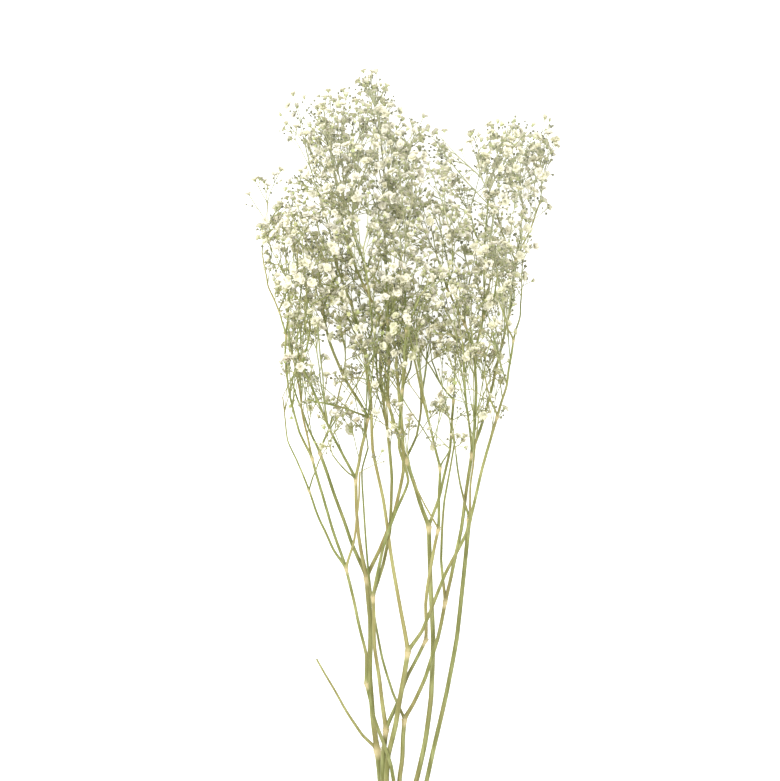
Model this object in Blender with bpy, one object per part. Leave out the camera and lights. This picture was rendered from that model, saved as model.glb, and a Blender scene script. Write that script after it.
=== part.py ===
"""A dried gypsophila stem, cut and lying on a table: one short stalk with its seven long branches, and
the sprays of small star blooms that the branches end in.

+X is to the right, +Y runs along the plant towards its tips and +Z is up. The origin is on the table, under
the middle of the plant. Routes are given by pixels of the photograph, which looks straight down on the plant,
and each route's depth by its share of the plant's half depth at that place. Lengths below are in
millimetres until a mesh is made.
"""

import math
import random
from dataclasses import dataclass, field

import bpy
import numpy as np
from mathutils.bvhtree import BVHTree

MM = 0.001
PIXEL = 0.80  # millimetres of plant under one pixel of the photograph
PLAN_X, PLAN_Y = 400.1, 486.0  # the pixel over the origin

# The plant's own thickness: the height of its middle, and half of its depth, at these rows of the photograph.
ROWS = (68, 110, 160, 300, 400, 500, 620, 781, 845, 905)
MIDDLE_HEIGHT = (64, 68, 70, 70, 64, 53, 38, 17, 9, 3.3)
HALF_DEPTH = (28, 48, 62, 66, 54, 40, 27, 12, 6, 1)

STALK_HEIGHT = 2.705  # of its middle at the cut end, where one of its six sides lies on the table
SEAT_GAP = 0.3  # between a branch's end and the spray that grows on it
CLEARANCE = 0.35  # least space between things that only pass each other
SWELLING = 1.4  # how much wider a branch is at its fork
TWIG_RADIUS = 0.5
BLOOM_RADIUS = 3.9
BLOOM_WAIST = 1.9  # radius of a bloom between its petals
BLOOM_HEIGHT = 2.3  # from the end of its pedicel to its rim
PETALS = 5
LEAST_BLOOM_HEIGHT = 5.5
SIDEWAYS = 0.15  # how much sooner a twig forks for a bloom that lies to its side
LEAST_PEDICEL = 4.0
LEAST_FORK_ANGLE = math.radians(14)
LEAST_STRETCH = 3.0
FORK_PARTS = (0.42, 0.5, 0.6, 0.7)  # how far towards its blooms a twig forks: the first that parts them
CROWN_BLOOMS = 590
SEED = 1732

# Each branch: name, what it grows from, its share of the half depth at its end, its widths in pixels at both
# ends, and its route in pixels of the photograph, from just past its parent's end to its own end.
BRANCHES = (
    ("stalk", None, 0.0, 7.8, 7.2, [(396, 905), (396, 890), (395, 872)]),
    ("stalk_middle", "stalk", 0.0, 6.4, 6.0, [(394.5, 846)]),
    ("stalk_top", "stalk_middle", 0.2, 5.6, 5.2, [(393.5, 823)]),
    ("west_foot", "stalk", -0.6, 5.0, 4.6, [(387, 838), (381.5, 795), (377, 752)]),
    ("broken_twig", "west_foot", -0.9, 2.6, 1.6, [(362, 738), (346, 713), (330, 686), (316, 661)]),
    ("west", "west_foot", -0.4, 4.4, 4.0, [(372, 715), (370, 680), (370, 620), (366.5, 578)]),
    ("west_a", "west", -0.35, 3.0, 2.6, [(350, 540), (338, 505), (319.5, 453)]),
    ("west_a1", "west_a", -0.7, 2.0, 1.4, [(309, 430), (298, 402), (291, 380)]),
    ("west_a2", "west_a", -0.1, 1.8, 1.3, [(331, 422), (341, 385)]),
    ("west_b", "west", 0.05, 2.9, 2.6, [(358, 535), (355.5, 479)]),
    ("west_b1", "west_b", 0.4, 2.2, 1.8, [(343, 455), (332, 433), (319, 404), (302, 365)]),
    ("west_b1a", "west_b1", 0.55, 1.6, 1.2, [(308, 345), (312, 305)]),
    ("west_b1b", "west_b1", 0.15, 1.5, 1.2, [(296, 345)]),
    ("west_b2", "west_b", -0.15, 2.6, 2.4, [(362, 447), (368, 418)]),
    ("west_b2a", "west_b2", 0.25, 1.8, 1.3, [(372, 385)]),
    ("west_b2b", "west_b2", 0.75, 1.7, 1.2, [(350, 410), (325, 403), (308, 400)]),
    ("west_b2c", "west_b2", -0.3, 2.5, 1.8, [(357, 398), (342, 374), (329, 340), (322, 310), (318, 262)]),
    ("west_b3", "west_b", 0.7, 1.4, 1.1, [(343, 468), (333, 455)]),
    ("west_c", "west", 0.15, 3.0, 2.4, [(380, 549), (395, 512), (403, 472), (402, 425), (396, 362)]),
    ("slim", "stalk_top", 0.75, 3.0, 2.7, [(395, 790), (391, 768), (384, 747), (374, 718), (366, 684)]),
    ("slim_top", "slim", 0.65, 2.7, 2.5, [(366, 655), (358, 620), (346, 568)]),
    ("slim_a", "slim_top", 0.55, 2.2, 1.8, [(334, 550), (321, 523), (309, 490)]),
    ("slim_a1", "slim_a", 0.45, 1.6, 1.1, [(297, 460), (288, 440), (283, 397)]),
    ("slim_a2", "slim_a", 0.85, 1.3, 1.1, [(320, 459)]),
    ("slim_b", "slim_top", 0.2, 2.5, 2.2, [(338, 545), (325, 505), (312, 458)]),
    ("slim_b1", "slim_b", 0.05, 2.0, 1.7, [(299, 432), (290, 395), (285, 356), (286, 335)]),
    ("slim_b1a", "slim_b1", -0.05, 1.5, 1.2, [(279, 311), (268, 285), (262, 252)]),
    ("slim_b1b", "slim_b1", 0.4, 1.4, 1.1, [(289, 305), (288, 285)]),
    ("slim_b2", "slim_b", -0.4, 1.8, 1.3, [(302, 412), (297, 376), (290, 348)]),
    ("slim_c", "slim_top", 0.8, 2.2, 1.4, [(353, 545), (358, 510), (360, 472)]),
    ("inner", "stalk_middle", 0.1, 4.4, 4.0, [(388, 815), (383, 781), (383.5, 755), (386, 731)]),
    ("inner_a", "inner", 0.1, 3.2, 2.8, [(381, 695), (375, 650), (373, 597)]),
    ("inner_a1", "inner_a", -0.5, 2.8, 1.8,
     [(383, 565), (390, 530), (392, 479), (387, 430), (380, 365), (383, 322), (364, 286), (349, 250), (342, 222)]),
    ("inner_a2", "inner_a", 0.5, 2.6, 1.5,
     [(383, 548), (396, 512), (408, 481), (399, 447), (402, 390), (406, 330), (404, 272)]),
    ("inner_b", "inner", 0.1, 3.0, 2.8, [(397, 705), (409, 675), (426, 641)]),
    ("inner_b1", "inner_b", 0.25, 2.8, 2.6, [(426, 606), (430, 570), (438.5, 529)]),
    ("inner_b1a", "inner_b1", 0.3, 2.5, 2.2, [(439, 505), (440, 467)]),
    ("inner_b1b", "inner_b1a", 0.3, 2.2, 1.4, [(432, 436), (423, 398), (413, 355), (408, 325)]),
    ("inner_b1c", "inner_b1a", 0.75, 1.4, 1.1, [(450, 449)]),
    ("inner_b2", "inner_b1", 0.85, 1.5, 1.1, [(425, 506), (413, 479)]),
    ("middle", "stalk_top", 0.45, 4.2, 4.0, [(386.5, 787), (388, 757), (396, 725), (402, 690), (408, 652)]),
    ("middle_a", "middle", -0.2, 3.2, 1.6,
     [(399, 600), (391, 555), (383, 500), (373, 450), (371, 400), (364, 350), (350, 300), (336, 265), (331, 237)]),
    ("middle_b", "middle", 0.6, 3.0, 2.3, [(422, 632), (446, 573), (466, 533), (482, 468), (497, 416)]),
    ("middle_b1", "middle_b", 0.4, 1.9, 1.7, [(506, 385), (513, 340)]),
    ("middle_b1a", "middle_b1", 0.7, 1.4, 1.1, [(507, 328), (500, 306)]),
    ("middle_b1b", "middle_b1", -0.1, 1.4, 1.1, [(520, 315), (522, 285)]),
    ("middle_b2", "middle_b", 0.85, 1.6, 1.2, [(489, 397), (484, 376)]),
    ("east_mid", "stalk_top", -0.2, 3.8, 3.5, [(398, 798), (401.5, 768), (404.5, 721)]),
    ("east_mid_a", "east_mid", -0.25, 2.2, 1.4,
     [(393, 695), (382, 660), (373, 612), (368, 570), (364, 510), (362, 470), (368, 448)]),
    ("east_mid_b", "east_mid", 0.05, 3.2, 3.0, [(413, 706), (426, 678), (438, 640), (445.5, 602)]),
    ("east_mid_b1", "east_mid_b", 0.0, 3.0, 2.8, [(452, 575), (461, 530), (472, 453)]),
    ("east_mid_b1a", "east_mid_b1", 0.75, 2.0, 1.3, [(466, 400), (462, 343)]),
    ("east_mid_b1b", "east_mid_b1", 0.05, 2.5, 2.2, [(476, 405), (475, 352)]),
    ("east_mid_b1c", "east_mid_b1b", -0.2, 2.1, 1.5, [(465, 325), (447, 288), (437, 256)]),
    ("east_mid_b1d", "east_mid_b1b", 0.1, 1.8, 1.3, [(484, 315), (484, 250), (488, 200)]),
    ("east_mid_b1e", "east_mid_b1", -0.45, 2.4, 2.1, [(486, 412), (500, 354)]),
    ("east_mid_b1f", "east_mid_b1e", -0.85, 1.4, 1.1, [(490, 336)]),
    ("east_mid_b1g", "east_mid_b1e", -0.35, 2.0, 1.7, [(510, 312), (516, 260)]),
    ("east_mid_b1h", "east_mid_b1g", 0.0, 1.4, 1.1, [(505, 240), (497, 216)]),
    ("east_mid_b1i", "east_mid_b1g", -0.75, 1.5, 1.2, [(521, 235), (524, 207)]),
    ("east_mid_b1j", "east_mid_b1g", -0.3, 1.6, 1.2, [(530, 230), (541, 200)]),
    ("east_mid_b2", "east_mid_b", -0.45, 2.4, 1.4, [(441, 560), (445, 500), (455, 442)]),
    ("east", "stalk_middle", -0.6, 4.4, 3.6,
     [(405, 820), (417, 781), (425, 745), (431, 700), (433.5, 640), (431, 585), (429, 527)]),
    ("east_a", "east", -0.3, 3.4, 3.0, [(419, 500), (406, 459)]),
    ("east_a1", "east_a", -0.1, 2.8, 2.4, [(397, 432), (388, 403)]),
    ("east_a1a", "east_a1", -0.55, 2.0, 1.5, [(378, 383), (376, 353)]),
    ("east_a1b", "east_a1", 0.1, 2.2, 2.0, [(389, 360), (388, 320), (387, 294)]),
    ("east_a1c", "east_a1b", 0.3, 1.5, 1.2, [(368, 269), (357, 246), (352, 228)]),
    ("east_a1d", "east_a1b", -0.05, 1.6, 1.2, [(386, 262), (384, 232)]),
    ("east_a2", "east_a", -0.65, 2.0, 1.4, [(417, 436), (423, 390), (428, 352)]),
    ("east_b", "east", -0.75, 2.4, 2.0, [(441, 493), (450, 450), (454, 400)]),
    ("east_b1", "east_b", -0.5, 1.6, 1.2, [(456, 356)]),
    ("east_b2", "east_b", -0.9, 1.5, 1.1, [(442, 386), (432, 360)]),
    ("far", "stalk", 0.0, 3.8, 3.5,
     [(404, 842), (423, 800), (434, 750), (446, 697), (457, 640), (464, 578), (469.5, 519)]),
    ("far_a", "far", 0.25, 2.0, 1.4, [(460, 485), (456, 455)]),
    ("far_b", "far", 0.6, 2.0, 1.3, [(471, 480), (477, 430)]),
    ("far_c", "far", -0.5, 2.0, 1.3, [(478, 490), (490, 440), (503, 400)]),
)

# The twigs that leave a branch on its way: its name, the branch and which point of its route it leaves at, its
# share of the half depth at its end, its widths and its route.
SIDE_TWIGS = (
    ("inner_a1_side", "inner_a1", 5, 0.55, 1.7, 1.3, [(391, 305), (398, 294)]),
    ("inner_a1_low", "inner_a1", 6, -0.75, 1.6, 1.3, [(375, 272), (380, 258)]),
    ("inner_a2_side", "inner_a2", 5, 0.85, 1.6, 1.3, [(414, 312), (420, 296)]),
    ("inner_a2_low", "inner_a2", 4, -0.5, 1.6, 1.3, [(410, 368), (414, 344)]),
    ("middle_a_low", "middle_a", 5, -0.7, 1.6, 1.3, [(354, 332), (346, 312)]),
    ("middle_a_side", "middle_a", 6, 0.35, 1.6, 1.3, [(338, 286), (330, 272)]),
    ("middle_a_top", "middle_a", 5, 0.8, 1.6, 1.3, [(372, 330), (370, 300), (366, 270)]),
    ("east_mid_b1c_side", "east_mid_b1c", 0, -0.7, 1.7, 1.3, [(466, 302), (470, 280)]),
    ("east_mid_b1c_top", "east_mid_b1c", 1, 0.7, 1.6, 1.3, [(452, 270), (452, 250)]),
    ("east_mid_b1d_side", "east_mid_b1d", 0, 0.75, 1.6, 1.3, [(493, 298), (497, 276)]),
    ("east_mid_b1d_low", "east_mid_b1d", 1, -0.55, 1.5, 1.2, [(476, 234), (472, 218)]),
    ("east_a1b_low", "east_a1b", 0, -0.9, 1.6, 1.3, [(398, 340), (404, 312)]),
    ("east_a1b_top", "east_a1b", 1, 0.85, 1.6, 1.3, [(396, 300), (400, 274)]),
    ("east_a1c_low", "east_a1c", 0, -0.35, 1.5, 1.2, [(372, 250), (374, 236)]),
    ("west_b2c_side", "west_b2c", 3, -0.8, 1.6, 1.3, [(330, 290), (338, 268)]),
    ("slim_b1a_side", "slim_b1a", 0, 0.5, 1.4, 1.1, [(286, 295), (296, 278)]),
    ("east_mid_b1g_side", "east_mid_b1g", 0, 0.5, 1.5, 1.2, [(514, 292), (507, 272)]),
)

# The edge of the flowering crown, clockwise from its lower left.
CROWN_EDGE = (
    (288, 345), (280, 300), (262, 262), (259, 226), (281, 206), (284, 186), (300, 172), (312, 160), (306, 140),
    (302, 118), (304, 98), (326, 96), (345, 92), (364, 78), (378, 80), (392, 100), (406, 118), (426, 124),
    (437, 140), (448, 160), (462, 180), (471, 205), (483, 196), (478, 166), (474, 144), (492, 134), (510, 120),
    (530, 124), (546, 132), (551, 160), (548, 182), (536, 210), (527, 262), (514, 305), (502, 352), (462, 372),
    (424, 352), (372, 358), (352, 345), (322, 334),
)
# Places inside that edge where the background shows through: centre and half sizes.
CROWN_GAPS = ((361, 230, 10, 27), (463, 222, 5, 8), (352, 150, 4, 10), (473, 192, 6, 7))

# The blooms that stand out past the edge, each on its own long pedicel.
RIM_BLOOMS = (
    (280, 114), (286, 123), (297, 106), (293, 94), (304, 93), (314, 99), (328, 90), (338, 82), (351, 69), (363, 70),
    (376, 69), (371, 76), (387, 85), (401, 95), (403, 112), (413, 123), (424, 116), (436, 132), (442, 145), (450, 155),
    (465, 171), (458, 179), (464, 184), (474, 186), (452, 194), (470, 142), (472, 132), (488, 139), (492, 126),
    (498, 121), (516, 115), (526, 117), (533, 125), (539, 129), (545, 118), (550, 119), (548, 134), (556, 141),
    (552, 152), (549, 172), (541, 231), (530, 246), (264, 181), (271, 182), (281, 170), (249, 194), (255, 180),
    (260, 226), (260, 244), (275, 318), (283, 381), (281, 206), (272, 282),
)
# The sparse blooms below the crown, among the branches.
LOW_BLOOMS = (
    (302, 383), (300, 397), (318, 408), (327, 400), (291, 419), (315, 414), (324, 427), (350, 428), (338, 416),
    (352, 402), (361, 373), (345, 377), (336, 383), (357, 420), (372, 452), (383, 450), (398, 435), (412, 432),
    (429, 428), (410, 415), (424, 404), (434, 404), (446, 410), (403, 385), (412, 372), (420, 384), (438, 368),
    (460, 370), (484, 372), (452, 436), (444, 430), (464, 440), (433, 446), (330, 452), (322, 446), (414, 470),
    (385, 376), (356, 384), (367, 367), (498, 372), (474, 408), (312, 366), (304, 356), (400, 405), (440, 394),
)
# The blooms that the plant's weight presses flat on the table.
FLOOR_BLOOMS = ((300, 262), (404, 300), (330, 330), (496, 284), (528, 160), (508, 230), (318, 150), (402, 190))


@dataclass
class Limb:
    """A stretch of branch or twig. It ends in up to three more limbs, in a bloom, or in a cut."""

    points: list
    radii: list
    bloom: tuple = None  # the bloom's centre and the way it faces
    limbs: list = field(default_factory=list)


def unit(vector):
    return vector / max(np.linalg.norm(vector), 1e-9)


def place(px, py, share):
    """The point of the plant under a pixel, at this share of its half depth."""
    height = np.interp(py, ROWS, MIDDLE_HEIGHT) + share * np.interp(py, ROWS, HALF_DEPTH)
    return np.array([(px - PLAN_X) * PIXEL, (PLAN_Y - py) * PIXEL, height])


def closest(first, second):
    """The distances between two lists of straight stretches, and how far along each its nearest point lies."""
    a, b = first[:, None, 0], first[:, None, 1] - first[:, None, 0]
    c, d = second[None, :, 0], second[None, :, 1] - second[None, :, 0]
    between = a - c
    bb, dd, bd = (b * b).sum(-1), (d * d).sum(-1), (b * d).sum(-1)
    b_gap, d_gap = (b * between).sum(-1), (d * between).sum(-1)
    spread = np.maximum(bb * dd - bd * bd, 1e-9)
    along = np.clip((bd * d_gap - dd * b_gap) / spread, 0, 1)
    other = np.clip((bd * along + d_gap) / dd, 0, 1)
    along = np.clip((bd * other - b_gap) / bb, 0, 1)
    offset = between + along[..., None] * b - other[..., None] * d
    return np.linalg.norm(offset, axis=-1), along, other


class Framework:
    """The branches as points with radii, and the stretches between them."""

    def __init__(self):
        self.pixels, self.rises, self.radii, self.joins, self.runs, self.parents = [], [], [], [], {}, {}
        for name, parent, share, width, end_width, route in BRANCHES:
            self.lay(name, parent, share, (width, end_width), route)
        whole = dict(self.runs)
        for name, branch, at, share, width, end_width, route in SIDE_TWIGS:
            foot = self.parted(whole[branch][at + 1])
            self.lay(name, foot, share, (width, end_width), route)
        self.points = np.array([place(*pixel, rise) for pixel, rise in zip(self.pixels, self.rises)])
        self.points[self.runs["stalk"][:2], 2] = STALK_HEIGHT
        self.settle()

    def lay(self, name, parent, share, widths, route):
        """Adds a branch that starts at its parent's end."""
        run = self.runs[parent][-1:] if parent else []
        corners = [self.pixels[i] for i in run] + route
        lengths = [0.0]
        for before, after in zip(corners, corners[1:]):
            lengths.append(lengths[-1] + math.dist(before, after))
        first = self.rises[run[0]] if run else share
        for corner, length in list(zip(corners, lengths))[len(run):]:
            part = length / lengths[-1]
            self.pixels.append(corner)
            self.rises.append(first + (share - first) * (1 - (1 - part) ** 2))
            self.radii.append((widths[0] + (widths[1] - widths[0]) * part) * PIXEL / 2)
            run.append(len(self.pixels) - 1)
        self.joins += zip(run, run[1:])
        self.runs[name], self.parents[name] = run, parent

    def parted(self, point):
        """The name of the branch that ends at this point, after parting the one that runs through it."""
        name = next(name for name, run in self.runs.items() if point in run[1:])
        run = self.runs[name]
        if run[-1] == point:
            return name
        foot = name + "_foot"
        while foot in self.runs:
            foot += "_foot"
        cut = run.index(point)
        self.runs[foot], self.runs[name] = run[: cut + 1], run[cut:]
        self.parents[foot], self.parents[name] = self.parents[name], foot
        return foot

    def stretches(self):
        ends = np.array(self.joins)
        radii = np.array(self.radii)[ends].max(axis=1)
        return self.points[ends], radii, ends

    def settle(self):
        """Branches that would run through each other part, the upper one up and the lower one down."""
        for _ in range(160):
            lines, radii, ends = self.stretches()
            gaps, along, other = closest(lines, lines)
            wanted = radii[:, None] + radii[None, :] + 1.2
            joined = (ends[:, None, :, None] == ends[None, :, None, :]).any(axis=(2, 3))
            crowded = np.argwhere(np.triu((gaps < wanted) & ~joined, 1))
            if not len(crowded):
                return
            for i, j in crowded:
                s, t = along[i, j], other[i, j]
                rise = lines[i][0] + s * (lines[i][1] - lines[i][0]) - lines[j][0] - t * (lines[j][1] - lines[j][0])
                push = 0.25 * (wanted[i, j] - gaps[i, j] + 0.2) * (1 if rise[2] >= 0 else -1)
                for stretch, share, way in ((i, s, push), (j, t, -push)):
                    self.points[ends[stretch][0], 2] += way * (1 - share)
                    self.points[ends[stretch][1], 2] += way * share
            lowest = np.array(self.radii) * SWELLING + 0.2
            lowest[self.runs["stalk"][:2]] = 0.0
            self.points[:, 2] = np.maximum(self.points[:, 2], lowest)

    def limb(self, name):
        run = self.runs[name]
        made = Limb([self.points[i] for i in run], [self.radii[i] for i in run])
        made.limbs = [self.limb(child) for child, parent in self.parents.items() if parent == name]
        return made

    def tips(self):
        """Where each spray grows: the branch's end, the way it points and its radius there."""
        for name, run in self.runs.items():
            if name not in self.parents.values() and name != "broken_twig":
                end, before = self.points[run[-1]], self.points[run[-2]]
                yield name, end, unit(end - before), self.radii[run[-1]]


def inside(point, edge):
    odd = False
    for (x1, y1), (x2, y2) in zip(edge, edge[1:] + edge[:1]):
        if (y1 > point[1]) != (y2 > point[1]) and point[0] < x1 + (point[1] - y1) * (x2 - x1) / (y2 - y1):
            odd = not odd
    return odd


def edge_distance(point, edge):
    starts = np.array(edge, float)
    runs = np.roll(starts, -1, axis=0) - starts
    share = np.clip(((point - starts) * runs).sum(1) / (runs * runs).sum(1), 0, 1)
    return np.linalg.norm(starts + share[:, None] * runs - point, axis=1).min()


def in_gap(px, py):
    return any(((px - x) / w) ** 2 + ((py - y) / h) ** 2 < 1 for x, y, w, h in CROWN_GAPS)


def bloom_places(framework, draw):
    """The blooms' centres: those set by hand, then more all through the crown, apart from each other."""
    lines, radii, _ = framework.stretches()
    placed = [place(px, py, draw.uniform(-0.3, 0.3)) for px, py in RIM_BLOOMS]
    placed += [place(px, py, draw.uniform(-0.9, 0.9)) for px, py in LOW_BLOOMS]
    for spot in placed:
        spot[2] = max(spot[2], LEAST_BLOOM_HEIGHT)
    placed += [np.array([*place(px, py, 0)[:2], 0.0]) for px, py in FLOOR_BLOOMS]
    wanted = len(placed) + CROWN_BLOOMS
    xs, ys = zip(*CROWN_EDGE)
    for _ in range(40000):
        if len(placed) >= wanted:
            break
        px, py = draw.uniform(min(xs), max(xs)), draw.uniform(min(ys), max(ys))
        depth = draw.uniform(-1, 1)
        if not inside((px, py), CROWN_EDGE) or in_gap(px, py):
            continue
        depth = math.copysign(abs(depth) ** 0.65, depth)
        fullness = math.sqrt(1 - (1 - min(edge_distance(np.array([px, py]), CROWN_EDGE) / 55, 1)) ** 2)
        spot = place(px, py, depth * (0.25 + 0.75 * fullness))
        spot[2] = max(spot[2], LEAST_BLOOM_HEIGHT)
        away = np.array(placed) - spot
        if (np.linalg.norm(away, axis=1) < 10.5).any() or (np.linalg.norm(away[:, :2], axis=1) < 5).any():
            continue
        ray = np.array([[spot, spot + [0, 0, 0.01]]])
        if (closest(ray, lines)[0][0] < radii + BLOOM_RADIUS + 1.0).any():
            continue
        placed.append(spot)
    return placed


def nearest_tip(spot, tips):
    """The branch end that reaches this bloom with the shortest and straightest twigs."""
    costs = []
    for _, end, heading, _ in tips:
        way = spot - end
        reach = np.linalg.norm(way)
        costs.append(reach * (2.2 - 1.2 * (way @ heading) / reach) + (200 if reach < 9 else 0))
    return int(np.argmin(costs))


def bundled(base, blooms):
    """The blooms in up to three bundles, each in a direction of its own from the base."""
    ways = np.array([unit(spot - base) for spot in blooms])
    first = int(np.argmin(ways @ unit(ways.mean(axis=0))))
    second = int(np.argmin(ways @ ways[first]))
    third = int(np.argmin(np.maximum(ways @ ways[first], ways @ ways[second])))
    centres = ways[sorted({first, second, third})]
    for _ in range(6):
        owner = (ways @ centres.T).argmax(axis=1)
        centres = np.array([unit(ways[owner == k].sum(axis=0) + 1e-6 * old) for k, old in enumerate(centres)])
    while len(set(owner)) > 1:
        used = sorted(set(owner))
        middles = {k: unit(ways[owner == k].sum(axis=0)) for k in used}
        one, other = max(
            ((k, m) for k in used for m in used if k < m), key=lambda pair: middles[pair[0]] @ middles[pair[1]]
        )
        if middles[one] @ middles[other] < math.cos(LEAST_FORK_ANGLE):
            break
        owner = np.where(owner == other, one, owner)
    return [[spot for spot, k in zip(blooms, owner) if k == wanted] for wanted in sorted(set(owner))]


def twig(base, heading, blooms, radius):
    """The limb from here to its blooms: one straight stretch to a fork, or one pedicel."""
    if len(blooms) == 1:
        spot = blooms[0]
        if spot[2] == 0.0:
            down = np.array([0.0, 0.0, -1.0])
            foot = spot - down * BLOOM_HEIGHT
            knee = foot - down * 3.5 - unit(spot - base) * [1, 1, 0] * 1.5
            return Limb([base, knee, foot], [radius, TWIG_RADIUS, TWIG_RADIUS], (spot, down))
        facing = unit(unit(spot - base) + 0.35 * heading)
        foot = spot - facing * BLOOM_HEIGHT
        return Limb([base, foot], [radius, TWIG_RADIUS], (spot, facing))
    ways = np.array([spot - base for spot in blooms])
    course = unit(unit(ways.mean(axis=0)) + 0.25 * heading)
    along = ways @ course
    limits = along - SIDEWAYS * np.linalg.norm(ways - along[:, None] * course, axis=1) - LEAST_PEDICEL
    reachable = limits > LEAST_STRETCH
    if not reachable.any():
        return twig(base, heading, [blooms[int(np.argmax(limits))]], radius)
    blooms = [spot for spot, kept in zip(blooms, reachable) if kept]
    for part in FORK_PARTS:
        length = min(part * np.linalg.norm(ways[reachable], axis=1).mean(), limits[reachable].min())
        fork = base + course * max(length, LEAST_STRETCH)
        fork[2] = max(fork[2], 2.5)
        bundles = bundled(fork, blooms)
        if len(bundles) > 1:
            break
    end_radius = max(TWIG_RADIUS, radius * 0.86)
    made = Limb([base, fork], [radius, end_radius])
    if len(bundles) > 1:
        made.limbs = [twig(fork, course, bundle, max(TWIG_RADIUS, end_radius * 0.9)) for bundle in bundles]
        return made
    rest = twig(fork, course, bundles[0], end_radius)
    made.points[1:], made.radii[1:] = rest.points[1:], rest.radii[1:]
    made.bloom, made.limbs = rest.bloom, rest.limbs
    return made


def spray(end, heading, radius, blooms):
    start = end + heading * SEAT_GAP
    return twig(start, heading, blooms, max(TWIG_RADIUS, radius * 0.95))


def stretches_of(limb, owner, found):
    """Each straight stretch under a limb, with the limbs that it belongs to, for the search for clashes."""
    for i in range(len(limb.points) - 1):
        found.append((limb.points[i], limb.points[i + 1], max(limb.radii[i : i + 2]), owner, limb))
    if limb.bloom:
        centre, facing = limb.bloom
        found.append((centre - facing * 1.2, centre - facing * 0.2, BLOOM_RADIUS * 0.97, owner, limb))
    for child in limb.limbs:
        stretches_of(child, owner, found)


def bloom_count(limb):
    return bool(limb.bloom) + sum(bloom_count(child) for child in limb.limbs)


def without(limb, dropped):
    """The limb less those that are dropped. A fork that one limb is left at becomes a bend."""
    if id(limb) in dropped:
        return None
    had = len(limb.limbs)
    limb.limbs = [kept for kept in (without(child, dropped) for child in limb.limbs) if kept]
    if had and not limb.limbs:
        return None
    if had and len(limb.limbs) == 1:
        only = limb.limbs[0]
        limb.points += only.points[1:]
        limb.radii += only.radii[1:]
        limb.bloom, limb.limbs = only.bloom, only.limbs
    return limb


def thinned(framework, sprays):
    """The sprays less the few twigs and blooms that would run through others."""
    lines, line_radii, _ = framework.stretches()
    tips = {name: end for name, end, _, _ in framework.tips()}
    while True:
        found = []
        for name, limb in sprays.items():
            stretches_of(limb, name, found)
        own = np.array([[a, b] for a, b, _, _, _ in found])
        radii = np.array([r for _, _, r, _, _ in found])
        gaps = closest(own, own)[0]
        crowded = gaps < radii[:, None] + radii[None, :] + CLEARANCE
        counts = [bloom_count(limb) for _, _, _, _, limb in found]
        dropped = set()
        for i, j in np.argwhere(np.triu(crowded, 1)):
            one, other = found[i], found[j]
            if id(one[4]) in dropped or id(other[4]) in dropped or one[4] is other[4] or touching(one, other):
                continue
            dropped.add(id((one if counts[i] <= counts[j] else other)[4]))
        against = closest(own, lines)[0] < radii[:, None] + line_radii[None, :] + CLEARANCE
        for i, j in np.argwhere(against):
            seat = tips[found[i][3]]
            at_seat = min(np.linalg.norm(lines[j] - seat, axis=1)) < 0.01
            if not (at_seat and np.linalg.norm(found[i][0] - seat) < 1.0):
                dropped.add(id(found[i][4]))
        if not dropped:
            return sprays
        kept = {name: without(limb, dropped) for name, limb in sprays.items()}
        sprays = {name: limb for name, limb in kept.items() if limb}


def touching(one, other):
    """Whether two stretches meet at a fork, where they are meant to."""
    return min(np.linalg.norm(p - q) for p in one[:2] for q in other[:2]) < 0.01


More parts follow.
